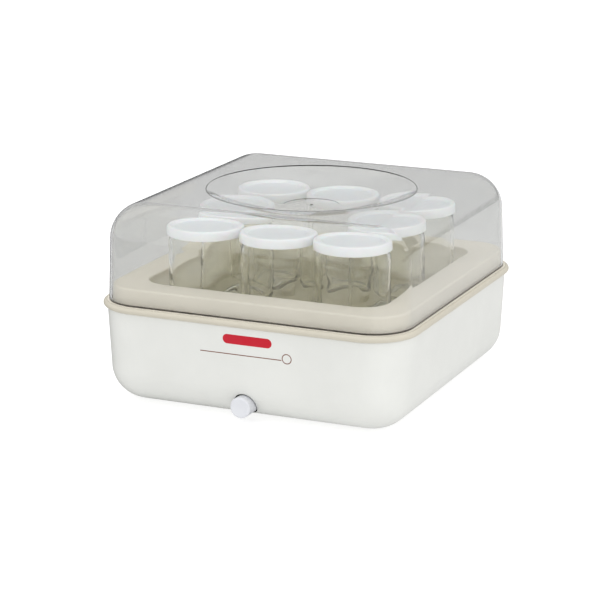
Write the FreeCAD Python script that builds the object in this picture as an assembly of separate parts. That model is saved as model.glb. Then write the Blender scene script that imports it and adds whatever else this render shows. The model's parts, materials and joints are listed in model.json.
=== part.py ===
"""Electric yogurt maker: square heated base, jar tray, eight capped glass jars and a clear lid.

Units are millimetres and +Z is up. The origin is the centre of the footprint, on the surface that
the rubber feet stand on. The front, with the power button, faces -Y.
"""
import FreeCAD, Part
import os
from math import cos, pi, radians, sin, sqrt

Vector = FreeCAD.Vector
X_AXIS = Vector(1, 0, 0)
Y_AXIS = Vector(0, 1, 0)
Z_AXIS = Vector(0, 0, 1)

# ---- driving dimensions -------------------------------------------------------------------------

# Feet and outer shell
FOOT_HEIGHT = 2.0
SHELL_HEIGHT = 77.0
SHELL_HALF_X = 131.7
SHELL_HALF_Y = 136.3
SHELL_CORNER = 35.9
SHELL_TAPER = 3.85
SHELL_BELLY = 28.6
SHELL_WALL = 2.5

# Tray: rolled bead, collar inside the lid, deck and jar well
BEAD_HALF_X = 135.0
BEAD_HALF_Y = 139.6
BEAD_CORNER = 39.0
BEAD_HEIGHT = 5.3
BEAD_ROUND = 2.6
COLLAR_HALF_X = 126.9
COLLAR_HALF_Y = 130.6
COLLAR_CORNER = 28.5
COLLAR_TAPER = 0.4
COLLAR_ROUND = 3.0
DECK_Z = 98.0
WELL_HALF_X = 102.7
WELL_HALF_Y = 106.0
WELL_CORNER = 20.6
WELL_TAPER = 1.6
WELL_FLOOR_Z = 62.0
WELL_EDGE_ROUND = 1.6
WELL_FLOOR_ROUND = 4.0
POST_RADIUS = 6.0
POST_HEIGHT = 5.0
PAD_RADIUS = 20.0
PAD_RISE = 1.6
TRAY_WALL = 2.2

# Lid
LID_GAP = 0.3
LID_HALF_X = 130.0
LID_HALF_Y = 134.6
LID_CORNER = 33.2
LID_TAPER = 2.95
LID_TOP_Z = 163.1
LID_ROUND = 29.4
LID_WALL = 2.2
DISH_RADIUS = 86.0
DISH_DEPTH = 14.7
DISH_FLAT = 22.8
DISH_FLOOR = 2.7

# Jars and caps
JAR_PITCH_X = 65.3
JAR_PITCH_Y = 68.5
JAR_RADIUS = 30.3
JAR_WALL = 2.4
JAR_FLOOR = 3.6
JAR_HEEL = 6.0
JAR_NECK = 28.0
JAR_LIP = 29.5
JAR_LIP_ROUND = 1.2
JAR_HEIGHT = 76.3
JAR_NECK_DROP = 4.5
JAR_SHOULDER = 9.0
CAP_RADIUS = 31.3
CAP_SKIRT = 4.9
CAP_RIM = 1.5
CAP_RIM_ROUND = 1.4
CAP_TOP = 1.3
CAP_WALL = 1.3
# Column, row, and how far the jar stands off its grid place in X and Y
JARS = {
    "front_left": (-1, -1, 3.2, -1.0),
    "front_centre": (0, -1, 1.9, 0.0),
    "front_right": (1, -1, 0.4, 0.6),
    "middle_left": (-1, 0, -2.6, 0.4),
    "middle_right": (1, 0, 0.9, 0.6),
    "back_left": (-1, 1, -0.6, 1.2),
    "back_centre": (0, 1, -1.4, 1.8),
    "back_right": (1, 1, 0.5, 0.8),
}

# Power button
BUTTON_Z = 14.6
BUTTON_RADIUS = 8.55
BUTTON_FRONT_Y = -139.6
BUTTON_EDGE = 1.4
BUTTON_BACK_Y = -121.0
BUTTON_HOLE = 9.6
STEM_RADIUS = 4.6
STEM_BACK_Y = -91.0
SLEEVE_FRONT_Y = -112.0
SLEEVE_BACK_Y = -98.0
SLEEVE_RADIUS = 7.5
SPRING_RADIUS = 6.2
SPRING_WIRE = 0.45
SPRING_TURNS = 4
BRACKET_SCREW_X = 16.0
BRACKET_SCREW_Y = -96.5
SWITCH_FRONT_Y = -86.0
SWITCH_BACK_Y = -66.0
SWITCH_HALF = 10.0
TAB_X = 5.0

# Bottom cover and its fixings
COVER_HALF_X = 95.6
COVER_HALF_Y = 99.6
COVER_CORNER = 11.6
COVER_THICK = 2.2
COVER_FIT = 0.4
FLANGE_THICK = 2.5
FLANGE_WIDTH = 10.0
BOSS_X = 90.0
BOSS_Y = 94.0
BOSS_RADIUS = 5.0
FOOT_X = 72.0
FOOT_Y = 76.0
SCREW_RADIUS = 1.5
SCREW_HEAD = 3.2
HEAD_THICK = 1.2
PILOT_RADIUS = 1.1
SMALL_HEAD = 2.6
SMALL_THREAD = 1.0

# Heater stack under the well floor
SPREADER_HALF_X = 83.0
SPREADER_HALF_Y = 87.0
SPREADER_THICK = 1.2
HEATER_RADIUS = 1.8
HEATER_ROWS = 8
HEATER_PITCH = 20.0
HEATER_HALF = 62.0
HEATER_TAIL = 80.0
HEATER_BEND = 6.0
HEATER_DROP = 12.0
CRIMP_LENGTH = 8.0
PAD_HALF_X = 76.0
PAD_HALF_Y = 82.0
PAD_THICK = 8.0
PILLARS = ((-50.0, 0.0), (50.0, 0.0), (0.0, -40.0), (0.0, 40.0))
PILLAR_RADIUS = 4.0
PILLAR_HOLE = 4.4
RETAINER_THICK = 1.2
FUSE_X = 26.0
FUSE_Y = 20.0
FUSE_RADIUS = 2.0
FUSE_DROP = 2.6

# Cord inlet
GLAND_X = 60.0
GLAND_Z = 41.0
GLAND_BORE = 3.1
GLAND_HOLE = 6.4
CLAMP_Y = 121.0
CLAMP_SCREW_X = 10.5
BLOCK_SCREW_X = 19.0
BLOCK_PITCH = 10.6
BLOCK_Y = 45.0
BLOCK_HALF = 7.0
LEAD_RADIUS = 1.2

# ---- levels worked out from them ----------------------------------------------------------------

SHELL_TOP_Z = FOOT_HEIGHT + SHELL_HEIGHT
FLANGE_Z = SHELL_TOP_Z + BEAD_HEIGHT
LID_EDGE_Z = FLANGE_Z + LID_GAP
COVER_TOP_Z = FOOT_HEIGHT + COVER_THICK
SHELL_FLOOR_Z = COVER_TOP_Z + FLANGE_THICK
WELL_UNDER_Z = WELL_FLOOR_Z - TRAY_WALL
SPREADER_Z = WELL_UNDER_Z - SPREADER_THICK
HEATER_Z = SPREADER_Z - HEATER_RADIUS - 0.1
TAIL_END_Z = HEATER_Z - HEATER_BEND - HEATER_DROP
PAD_TOP_Z = HEATER_Z - HEATER_RADIUS - 1.4
PAD_Z = PAD_TOP_Z - PAD_THICK
RETAINER_Z = PAD_Z - RETAINER_THICK


# ---- helpers ------------------------------------------------------------------------------------

def outline(half_x, half_y, corner, z):
    """Closed wire: a rectangle with rounded corners at height z."""
    inner_x = half_x - corner
    inner_y = half_y - corner
    centres = ((inner_x, inner_y), (-inner_x, inner_y), (-inner_x, -inner_y), (inner_x, -inner_y))
    edges = []
    ends = []
    for index, (cx, cy) in enumerate(centres):
        start = radians(90 * index)
        points = [
            Vector(cx + corner * cos(start + turn), cy + corner * sin(start + turn), z)
            for turn in (0, pi / 4, pi / 2)
        ]
        edges.append(Part.Arc(*points).toShape())
        ends.append((points[0], points[2]))
    for index in range(4):
        edges.append(Part.LineSegment(ends[index][1], ends[(index + 1) % 4][0]).toShape())
    return Part.Wire(Part.__sortEdges__(edges))


def tapered_block(half_x, half_y, corner, z0, z1, grow=0.0):
    """Solid between two rounded rectangles; the upper one is larger all round by grow."""
    low = outline(half_x, half_y, corner, z0)
    high = outline(half_x + grow, half_y + grow, corner + grow, z1)
    return Part.makeLoft([low, high], True, True)


def level_edges(shape, z):
    """The edges of shape that lie wholly at height z."""
    found = []
    for edge in shape.Edges:
        box = edge.BoundBox
        if abs(box.ZMin - z) < 0.01 and abs(box.ZMax - z) < 0.01:
            found.append(edge)
    return found


def round_level(shape, z, radius):
    """Shape with its edges at height z rounded."""
    return shape.makeFillet(radius, level_edges(shape, z))


def cylinder(radius, base, axis, length):
    """Solid cylinder from the point base along axis."""
    return Part.makeCylinder(radius, length, base, axis)


def box(low, high):
    """Solid box between two corners."""
    size = [b - a for a, b in zip(low, high)]
    return Part.makeBox(size[0], size[1], size[2], Vector(*low))


def revolve(points, centre=(0.0, 0.0), arcs=()):
    """Solid of revolution about a vertical axis from (radius, z) points.

    arcs holds {index: middle point}: the run from points[index] to the next one passes through it.
    """
    middles = dict(arcs)
    rim = [Vector(radius, 0, z) for radius, z in points]
    edges = []
    for index, start in enumerate(rim):
        end = rim[(index + 1) % len(rim)]
        if index in middles:
            radius, z = middles[index]
            edges.append(Part.Arc(start, Vector(radius, 0, z), end).toShape())
        else:
            edges.append(Part.LineSegment(start, end).toShape())
    face = Part.Face(Part.Wire(edges))
    solid = face.revolve(Vector(0, 0, 0), Z_AXIS, 360)
    solid.translate(Vector(centre[0], centre[1], 0))
    return solid


def bend_middle(centre, radius, start, end):
    """Middle point of an arc about centre, between the angles start and end in degrees."""
    angle = radians((start + end) / 2)
    return (centre[0] + radius * cos(angle), centre[1] + radius * sin(angle))


def tube_along(points, radius):
    """Round solid along straight runs joined by tangent arcs as large as the runs allow."""
    nodes = [Vector(*point) for point in points]
    edges = []
    last = nodes[0]
    for index in range(1, len(nodes) - 1):
        before = nodes[index - 1] - nodes[index]
        after = nodes[index + 1] - nodes[index]
        turn = pi - before.getAngle(after)
        cut = 0.45 * min(before.Length, after.Length)
        bend = cut / abs(sin(turn / 2) / cos(turn / 2))
        start = nodes[index] + before.normalize() * cut
        end = nodes[index] + after.normalize() * cut
        inward = ((start + end) * 0.5 - nodes[index]).normalize()
        middle = nodes[index] + inward * (sqrt(bend**2 + cut**2) - bend)
        edges.append(Part.LineSegment(last, start).toShape())
        edges.append(Part.Arc(start, middle, end).toShape())
        last = end
    edges.append(Part.LineSegment(last, nodes[-1]).toShape())
    path = Part.Wire(edges)
    section = Part.Wire(Part.Circle(nodes[0], nodes[1] - nodes[0], radius).toShape())
    return path.makePipeShell([section], True, False)


def screw(tip, axis, length, head=SCREW_HEAD, thread=SCREW_RADIUS):
    """Pan-head screw: tip is where the head's underside sits, axis runs from head to point."""
    back = tip - axis * HEAD_THICK
    solid = cylinder(thread, tip, axis, length).fuse(cylinder(head, back, axis, HEAD_THICK))
    side = axis.cross(X_AXIS) if abs(axis.x) < 0.5 else axis.cross(Y_AXIS)
    for across in (side, axis.cross(side)):
        along = axis.cross(across)
        corner = back - across * 0.4 - along * (head * 0.6)
        slot = Part.makeBox(0.8, head * 1.2, 0.7)
        slot.Placement = FreeCAD.Placement(corner, FreeCAD.Rotation(across, along, axis))
        solid = solid.cut(slot)
    return solid


def four_places(x, y):
    """The four places (+-x, +-y) with their short names."""
    return {"front_left": (-x, -y), "front_right": (x, -y), "back_left": (-x, y), "back_right": (x, y)}


def jar_place(name):
    """Centre of one jar in plan."""
    column, row, off_x, off_y = JARS[name]
    return (column * JAR_PITCH_X + off_x, row * JAR_PITCH_Y + off_y)


# ---- base: shell, cover, feet -------------------------------------------------------------------

def outer_shell():
    """Box-shaped shell with a bellied lower edge, open at the top, with a flange for the cover."""
    low_x = SHELL_HALF_X - SHELL_TAPER
    low_y = SHELL_HALF_Y - SHELL_TAPER
    low_corner = SHELL_CORNER - SHELL_TAPER
    outside = tapered_block(low_x, low_y, low_corner, FOOT_HEIGHT, SHELL_TOP_Z, SHELL_TAPER)
    outside = round_level(outside, FOOT_HEIGHT, SHELL_BELLY)
    floor_z = FOOT_HEIGHT + SHELL_WALL
    inside = tapered_block(
        low_x - SHELL_WALL, low_y - SHELL_WALL, low_corner - SHELL_WALL,
        floor_z, SHELL_TOP_Z + 1.0, SHELL_TAPER,
    )
    inside = round_level(inside, floor_z, SHELL_BELLY - SHELL_WALL)
    shell = outside.cut(inside)
    pocket_x = COVER_HALF_X + COVER_FIT
    pocket_y = COVER_HALF_Y + COVER_FIT
    floor = tapered_block(pocket_x + 2.5, pocket_y + 2.5, 14.5, FOOT_HEIGHT, SHELL_FLOOR_Z)
    pocket = tapered_block(pocket_x, pocket_y, COVER_CORNER + COVER_FIT, 0.0, COVER_TOP_Z)
    opening = tapered_block(
        pocket_x - FLANGE_WIDTH, pocket_y - FLANGE_WIDTH, 8.0, 0.0, SHELL_FLOOR_Z + 1.0
    )
    shell = shell.fuse(floor).cut(pocket).cut(opening)
    for x, y in four_places(BOSS_X, BOSS_Y).values():
        shell = shell.cut(cylinder(SCREW_RADIUS + 0.1, Vector(x, y, 0), Z_AXIS, 10.0))
    for x in (-BRACKET_SCREW_X, BRACKET_SCREW_X):
        shell = shell.cut(cylinder(PILOT_RADIUS, Vector(x, BRACKET_SCREW_Y, 0), Z_AXIS, 10.0))
    shell = shell.cut(cylinder(BUTTON_HOLE, Vector(0, -150, BUTTON_Z), Y_AXIS, 43.0))
    shell = shell.cut(cylinder(GLAND_HOLE, Vector(GLAND_X, 120, GLAND_Z), Y_AXIS, 30.0))
    return shell.fuse(clamp_ledge())


def clamp_ledge():
    """Ledge inside the rear wall that the cord clamp is screwed to."""
    wall_y = SHELL_HALF_Y - SHELL_TAPER * 0.5 - SHELL_WALL
    ledge = box((GLAND_X - 16, 116.0, GLAND_Z - 11), (GLAND_X + 16, wall_y, GLAND_Z - 4.0))
    ledge = ledge.cut(cylinder(8.4, Vector(GLAND_X, 125.6, GLAND_Z), Y_AXIS, 20.0))
    for x in (GLAND_X - CLAMP_SCREW_X, GLAND_X + CLAMP_SCREW_X):
        ledge = ledge.cut(cylinder(PILOT_RADIUS, Vector(x, CLAMP_Y, GLAND_Z - 20), Z_AXIS, 30.0))
    return ledge


def bottom_cover():
    """Flat plate let into the shell's floor, with vent slots and the holes of feet and screws."""
    plate = tapered_block(COVER_HALF_X, COVER_HALF_Y, COVER_CORNER, FOOT_HEIGHT, COVER_TOP_Z)
    for x, y in four_places(BOSS_X, BOSS_Y).values():
        plate = plate.cut(cylinder(SCREW_RADIUS + 0.1, Vector(x, y, 0), Z_AXIS, 10.0))
        plate = plate.cut(cylinder(SCREW_HEAD + 0.4, Vector(x, y, 0), Z_AXIS, FOOT_HEIGHT + HEAD_THICK))
    for x, y in four_places(FOOT_X, FOOT_Y).values():
        plate = plate.cut(cylinder(3.3, Vector(x, y, 0), Z_AXIS, 10.0))
    for column in (-1, 1):
        for row in range(-3, 4):
            slot = tapered_block(14.0, 1.5, 1.49, 0.0, 10.0)
            slot.translate(Vector(column * 22.0, row * 8.0, 0))
            plate = plate.cut(slot)
    for x in (GLAND_X - BLOCK_SCREW_X, GLAND_X + BLOCK_SCREW_X):
        plate = plate.cut(cylinder(PILOT_RADIUS, Vector(x, BLOCK_Y, 0), Z_AXIS, 10.0))
    return plate


def foot(x, y):
    """Rubber foot: a pad with a barbed stem pushed through the cover."""
    head_z = COVER_TOP_Z + 0.1
    points = [
        (0.0, 0.0), (7.4, 0.0), (8.0, 0.6), (8.0, FOOT_HEIGHT), (3.1, FOOT_HEIGHT), (3.1, head_z),
        (4.4, head_z), (3.4, head_z + 2.0), (0.0, head_z + 2.0),
    ]
    return revolve(points, (x, y))


# ---- tray ---------------------------------------------------------------------------------------

def jar_tray():
    """Bead, collar, deck and well in one moulding, with posts and pillars above and below."""
    bead = tapered_block(BEAD_HALF_X, BEAD_HALF_Y, BEAD_CORNER, SHELL_TOP_Z, FLANGE_Z)
    bead = round_level(bead, SHELL_TOP_Z, BEAD_ROUND)
    bead = round_level(bead, FLANGE_Z, BEAD_ROUND)
    collar = tapered_block(
        COLLAR_HALF_X, COLLAR_HALF_Y, COLLAR_CORNER, FLANGE_Z - 1.0, DECK_Z, -COLLAR_TAPER
    )
    collar = round_level(collar, DECK_Z, COLLAR_ROUND)
    skirt_gap = SHELL_WALL + 0.5 + SHELL_TAPER * 8.0 / SHELL_HEIGHT
    skirt_x = SHELL_HALF_X - skirt_gap
    skirt_y = SHELL_HALF_Y - skirt_gap
    skirt = tapered_block(skirt_x, skirt_y, SHELL_CORNER - skirt_gap, SHELL_TOP_Z - 8.0, SHELL_TOP_Z + 1.0)
    inset = COLLAR_HALF_X - COLLAR_TAPER - TRAY_WALL
    hollow = tapered_block(
        inset, COLLAR_HALF_Y - COLLAR_TAPER - TRAY_WALL, COLLAR_CORNER - TRAY_WALL,
        SHELL_TOP_Z - 9.0, DECK_Z - TRAY_WALL,
    )
    rim = bead.fuse(collar).fuse(skirt).cut(hollow)
    low_x = WELL_HALF_X - WELL_TAPER
    low_y = WELL_HALF_Y - WELL_TAPER
    low_corner = WELL_CORNER - WELL_TAPER
    tub = tapered_block(
        low_x + TRAY_WALL, low_y + TRAY_WALL, low_corner + TRAY_WALL,
        WELL_UNDER_Z, DECK_Z - 1.0, WELL_TAPER,
    )
    tub = round_level(tub, WELL_UNDER_Z, WELL_FLOOR_ROUND + TRAY_WALL)
    well = tapered_block(low_x, low_y, low_corner, WELL_FLOOR_Z, DECK_Z, WELL_TAPER)
    well = round_level(well, WELL_FLOOR_Z, WELL_FLOOR_ROUND)
    tray = rim.fuse(tub).cut(well)
    tray = tray.makeFillet(WELL_EDGE_ROUND, well_rim_edges(tray))
    return add_tray_features(tray)


def well_rim_edges(tray):
    """The edges where the deck turns down into the well."""
    limit = WELL_HALF_X + 1.0
    found = []
    for edge in level_edges(tray, DECK_Z):
        if edge.BoundBox.XMax < limit and edge.BoundBox.XMin > -limit:
            found.append(edge)
    return found


def add_tray_features(tray):
    """Locating posts and centre pad in the well; screw bosses and pillars below it."""
    base_z = WELL_FLOOR_Z - 1.0
    for x, y in four_places(JAR_PITCH_X / 2, JAR_PITCH_Y / 2).values():
        post = revolve(
            [(0.0, base_z), (POST_RADIUS, base_z), (POST_RADIUS - 0.8, WELL_FLOOR_Z + POST_HEIGHT - 1.0),
             (POST_RADIUS - 2.0, WELL_FLOOR_Z + POST_HEIGHT), (0.0, WELL_FLOOR_Z + POST_HEIGHT)],
            (x, y),
        )
        tray = tray.fuse(post)
    centre_pad = revolve(
        [(0.0, base_z), (PAD_RADIUS, base_z), (PAD_RADIUS - 1.0, WELL_FLOOR_Z + PAD_RISE),
         (0.0, WELL_FLOOR_Z + PAD_RISE)]
    )
    tray = tray.fuse(centre_pad)
    for x, y in four_places(BOSS_X, BOSS_Y).values():
        top = WELL_UNDER_Z + 3.0
        boss = cylinder(BOSS_RADIUS, Vector(x, y, SHELL_FLOOR_Z), Z_AXIS, top - SHELL_FLOOR_Z)
        boss = boss.cut(cylinder(SCREW_RADIUS + 0.1, Vector(x, y, 0), Z_AXIS, 24.0))
        tray = tray.fuse(boss)
    for x, y in PILLARS:
        pillar = cylinder(PILLAR_RADIUS, Vector(x, y, PAD_Z), Z_AXIS, WELL_UNDER_Z + 1.0 - PAD_Z)
        pillar = pillar.cut(cylinder(PILOT_RADIUS, Vector(x, y, PAD_Z), Z_AXIS, 10.0))
        tray = tray.fuse(pillar)
    return tray


# ---- lid ----------------------------------------------------------------------------------------

def dish(depth, rim_radius, rim_z):
    """Solid that hollows a round dish: a flat disc and a bowl that rises to the rim."""
    run = rim_radius - DISH_FLAT
    bowl = (run**2 + depth**2) / (2 * depth)
    middle = (DISH_FLAT + run / 2, rim_z - depth + bowl - sqrt(bowl**2 - (run / 2) ** 2))
    points = [
        (0.0, rim_z - depth), (DISH_FLAT, rim_z - depth), (rim_radius, rim_z),
        (rim_radius, rim_z + 10.0), (0.0, rim_z + 10.0),
    ]
    return revolve(points, arcs={1: middle})


def lid():
    """Clear cover with rounded top edges and a shallow round dish in its top."""
    outside = tapered_block(LID_HALF_X, LID_HALF_Y, LID_CORNER, LID_EDGE_Z, LID_TOP_Z, -LID_TAPER)
    outside = round_level(outside, LID_TOP_Z, LID_ROUND)
    outside = outside.cut(dish(DISH_DEPTH, DISH_RADIUS, LID_TOP_Z))
    inner_top = LID_TOP_Z - LID_WALL
    inside = tapered_block(
        LID_HALF_X - LID_WALL, LID_HALF_Y - LID_WALL, LID_CORNER - LID_WALL,
        LID_EDGE_Z - 0.001, inner_top, -LID_TAPER,
    )
    inside = round_level(inside, inner_top, LID_ROUND - LID_WALL)
    inside = inside.cut(dish(DISH_DEPTH + DISH_FLOOR - LID_WALL, DISH_RADIUS + 0.5, inner_top))
    return outside.cut(inside)


# ---- jars and caps ------------------------------------------------------------------------------

def jar(name):
    """Round glass pot with a rounded heel, a rounded shoulder and a rolled lip."""
    z0 = WELL_FLOOR_Z
    lip_z = z0 + JAR_HEIGHT
    neck_z = lip_z - JAR_NECK_DROP
    shoulder_z = neck_z - JAR_SHOULDER
    heel = JAR_HEEL
    inner = JAR_RADIUS - JAR_WALL
    inner_neck = JAR_NECK - JAR_WALL
    inner_heel = JAR_HEEL - 1.6
    floor_z = z0 + JAR_FLOOR
    points = [
        (0.0, z0 + 1.4), (18.0, z0 + 0.9), (21.5, z0), (JAR_RADIUS - heel, z0),
        (JAR_RADIUS, z0 + heel), (JAR_RADIUS, shoulder_z), (JAR_NECK, neck_z),
        (JAR_NECK, lip_z - 3.6), (JAR_LIP, lip_z - 2.8), (JAR_LIP, lip_z - JAR_LIP_ROUND),
        (JAR_LIP - JAR_LIP_ROUND, lip_z), (inner_neck, lip_z), (inner_neck, neck_z),
        (inner, shoulder_z), (inner, floor_z + inner_heel), (inner - inner_heel, floor_z),
        (0.0, floor_z),
    ]
    arcs = {
        3: bend_middle((JAR_RADIUS - heel, z0 + heel), heel, -90, 0),
        5: bulge(JAR_RADIUS, shoulder_z, JAR_NECK, neck_z),
        9: bend_middle((JAR_LIP - JAR_LIP_ROUND, lip_z - JAR_LIP_ROUND), JAR_LIP_ROUND, 0, 90),
        12: bulge(inner, shoulder_z, inner_neck, neck_z),
        14: bend_middle((inner - inner_heel, floor_z + inner_heel), inner_heel, -90, 0),
    }
    return revolve(points, jar_place(name), arcs)


def bulge(low_radius, low_z, high_radius, high_z):
    """Middle point of a shoulder that leaves the body upright and curves in to the neck."""
    rise = high_z - low_z
    step = low_radius - high_radius
    curve = (rise**2 + step**2) / (2 * step)
    middle_z = low_z + rise * 0.55
    return (low_radius - curve + sqrt(curve**2 - (middle_z - low_z) ** 2), middle_z)


def jar_cap(name):
    """Push-fit cap: thin top inside a raised rounded rim, and a skirt with a small bead inside."""
    top = WELL_FLOOR_Z + JAR_HEIGHT + CAP_TOP
    low = top - CAP_SKIRT
    crown = top + CAP_RIM
    inner = CAP_RADIUS - CAP_WALL
    under = top - CAP_TOP
    side = CAP_RADIUS - 0.15
    rim = side - CAP_RIM_ROUND
    points = [
        (0.0, under), (inner - 0.4, under), (inner, under - 0.6), (inner, low + 1.6),
        (inner - 0.15, low + 1.0), (inner, low + 0.4), (inner + 0.3, low), (CAP_RADIUS, low),
        (side, crown - CAP_RIM_ROUND), (rim, crown), (rim - 0.9, crown), (rim - 1.9, top),
        (0.0, top),
    ]
    arcs = {8: bend_middle((rim, crown - CAP_RIM_ROUND), CAP_RIM_ROUND, 0, 90)}
    return revolve(points, jar_place(name), arcs)


# ---- power button and switch --------------------------------------------------------------------

def along_y(shape, y, z):
    """Turn a solid made about +Z so that its axis runs along +Y from the point (0, y, z)."""
    shape.rotate(Vector(0, 0, 0), X_AXIS, -90)
    shape.translate(Vector(0, y, z))
    return shape


def power_button():
    """Round push button on a stem, with a rounded front edge and a shallow dished face."""
    length = BUTTON_BACK_Y - BUTTON_FRONT_Y
    stem_end = STEM_BACK_Y - BUTTON_FRONT_Y
    groove = SLEEVE_BACK_Y - BUTTON_FRONT_Y + 0.5
    edge = BUTTON_EDGE
    points = [
        (0.0, 0.5), (5.0, 0.3), (BUTTON_RADIUS - edge, 0.0), (BUTTON_RADIUS, edge),
        (BUTTON_RADIUS, length), (STEM_RADIUS, length), (STEM_RADIUS, groove),
        (STEM_RADIUS - 0.8, groove), (STEM_RADIUS - 0.8, groove + 1.2), (STEM_RADIUS, groove + 1.2),
        (STEM_RADIUS, stem_end), (0.0, stem_end),
    ]
    arcs = {2: bend_middle((BUTTON_RADIUS - edge, edge), edge, -90, 0)}
    return along_y(revolve(points, arcs=arcs), BUTTON_FRONT_Y, BUTTON_Z)


def button_clip():
    """Spring clip in the stem's groove that keeps the button in its sleeve."""
    clip = cylinder(5.7, Vector(0, 0, 0), Z_AXIS, 1.0)
    clip = clip.cut(cylinder(STEM_RADIUS - 0.75, Vector(0, 0, -1), Z_AXIS, 3.0))
    clip = clip.cut(box((-2.6, 0, -1), (2.6, 9, 2)))
    return along_y(clip, SLEEVE_BACK_Y + 0.6, BUTTON_Z)


def button_spring():
    """Coil spring around the stem, between the button and its sleeve, built up in half turns."""
    gap = 0.1
    length = SLEEVE_FRONT_Y - BUTTON_BACK_Y - 2 * (SPRING_WIRE + gap)
    rise = length / (2 * SPRING_TURNS)
    lead = Vector(0, pi * SPRING_RADIUS, rise)
    section = Part.Wire(Part.Circle(Vector(SPRING_RADIUS, 0, 0), lead, SPRING_WIRE).toShape())
    halves = []
    for index in range(2 * SPRING_TURNS):
        helix = Part.makeHelix(2 * rise, rise, SPRING_RADIUS)
        half = Part.Wire(helix).makePipeShell([section], True, True)
        half.rotate(Vector(0, 0, 0), Z_AXIS, 180 * index)
        half.translate(Vector(0, 0, rise * index))
        halves.append(half)
    spring = halves[0].fuse(halves[1:])
    return along_y(spring, BUTTON_BACK_Y + SPRING_WIRE + gap, BUTTON_Z)


def switch_bracket():
    """Bracket with the sleeve that guides the button and the shelf that carries the switch."""
    shelf = box((-22, -102, SHELL_FLOOR_Z), (22, -91, SHELL_FLOOR_Z + 2))
    shelf = shelf.fuse(box((-13, -92, SHELL_FLOOR_Z), (13, -60, SHELL_FLOOR_Z + 2)))
    length = SLEEVE_BACK_Y - SLEEVE_FRONT_Y
    sleeve = cylinder(SLEEVE_RADIUS, Vector(0, SLEEVE_FRONT_Y, BUTTON_Z), Y_AXIS, length)
    web = box((-SLEEVE_RADIUS, -102, SHELL_FLOOR_Z + 1), (SLEEVE_RADIUS, SLEEVE_BACK_Y, BUTTON_Z))
    bracket = shelf.fuse(web).fuse(sleeve)
    bore = cylinder(STEM_RADIUS + 0.4, Vector(0, SLEEVE_FRONT_Y - 1, BUTTON_Z), Y_AXIS, length + 2)
    bracket = bracket.cut(bore)
    for x in (-BRACKET_SCREW_X, BRACKET_SCREW_X):
        bracket = bracket.cut(cylinder(1.6, Vector(x, BRACKET_SCREW_Y, 0), Z_AXIS, 20.0))
    return bracket


def bracket_screws():
    """Two screws that hold the switch bracket on the shell's floor."""
    top = SHELL_FLOOR_Z + 2
    down = Z_AXIS * -1
    places = [Vector(x, BRACKET_SCREW_Y, top) for x in (-BRACKET_SCREW_X, BRACKET_SCREW_X)]
    return [screw(place, down, 4.2, SMALL_HEAD, SMALL_THREAD) for place in places]


def switch_body():
    """Push-on push-off switch with a bore for its plunger."""
    low_z = SHELL_FLOOR_Z + 2
    high_z = 2 * BUTTON_Z - low_z
    body = box((-SWITCH_HALF, SWITCH_FRONT_Y, low_z), (SWITCH_HALF, SWITCH_BACK_Y, high_z))
    upright = [edge for edge in body.Edges if edge.BoundBox.ZLength > 1]
    body = body.makeFillet(0.8, upright)
    return body.cut(cylinder(2.9, Vector(0, SWITCH_FRONT_Y - 1, BUTTON_Z), Y_AXIS, 17.0))


def switch_tabs():
    """Two flat brass terminals on the back of the switch."""
    tabs = []
    for x in (-TAB_X, TAB_X):
        low = (x - 1.6, SWITCH_BACK_Y, BUTTON_Z - 0.4)
        tabs.append(box(low, (x + 1.6, SWITCH_BACK_Y + 8, BUTTON_Z + 0.4)))
    return tabs


def switch_plunger():
    """Plunger of the switch, which the stem pushes on."""
    return cylinder(2.5, Vector(0, STEM_BACK_Y, BUTTON_Z), Y_AXIS, 13.0)


# ---- heater stack -------------------------------------------------------------------------------

def heat_spreader():
    """Aluminium plate against the underside of the well floor."""
    plate = tapered_block(SPREADER_HALF_X, SPREADER_HALF_Y, 6.0, SPREADER_Z, WELL_UNDER_Z)
    for x, y in PILLARS:
        plate = plate.cut(cylinder(PILLAR_HOLE, Vector(x, y, 0), Z_AXIS, 100.0))
    return plate


def heater_rows():
    """Y places of the straight rows of the heating cord."""
    first = -HEATER_PITCH * (HEATER_ROWS - 1) / 2
    return [first + HEATER_PITCH * row for row in range(HEATER_ROWS)]


def heater_cord():
    """Silicone heating cord laid to and fro under the plate, with both tails turned down."""
    tail = HEATER_TAIL
    bend = HEATER_BEND
    rows = heater_rows()
    edges = []
    low = Vector(-tail, rows[0], TAIL_END_Z)
    knee = Vector(-tail, rows[0], HEATER_Z - bend)
    edges.append(Part.LineSegment(low, knee).toShape())
    turn = bend * (1 - sqrt(0.5))
    entry = Vector(-tail + bend, rows[0], HEATER_Z)
    edges.append(Part.Arc(knee, Vector(-tail + turn, rows[0], HEATER_Z - turn), entry).toShape())
    last = entry
    side = 1
    for row, y in enumerate(rows[:-1]):
        corner = Vector(side * HEATER_HALF, y, HEATER_Z)
        apex = Vector(side * (HEATER_HALF + HEATER_PITCH / 2), y + HEATER_PITCH / 2, HEATER_Z)
        following = Vector(side * HEATER_HALF, y + HEATER_PITCH, HEATER_Z)
        edges.append(Part.LineSegment(last, corner).toShape())
        edges.append(Part.Arc(corner, apex, following).toShape())
        last = following
        side = -side
    leave = Vector(-tail + bend, rows[-1], HEATER_Z)
    edges.append(Part.LineSegment(last, leave).toShape())
    knee = Vector(-tail, rows[-1], HEATER_Z - bend)
    edges.append(Part.Arc(leave, Vector(-tail + turn, rows[-1], HEATER_Z - turn), knee).toShape())
    end = Vector(-tail, rows[-1], TAIL_END_Z)
    edges.append(Part.LineSegment(knee, end).toShape())
    section = Part.Wire(Part.Circle(low, Z_AXIS, HEATER_RADIUS).toShape())
    return Part.Wire(edges).makePipeShell([section], True, False)


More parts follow.
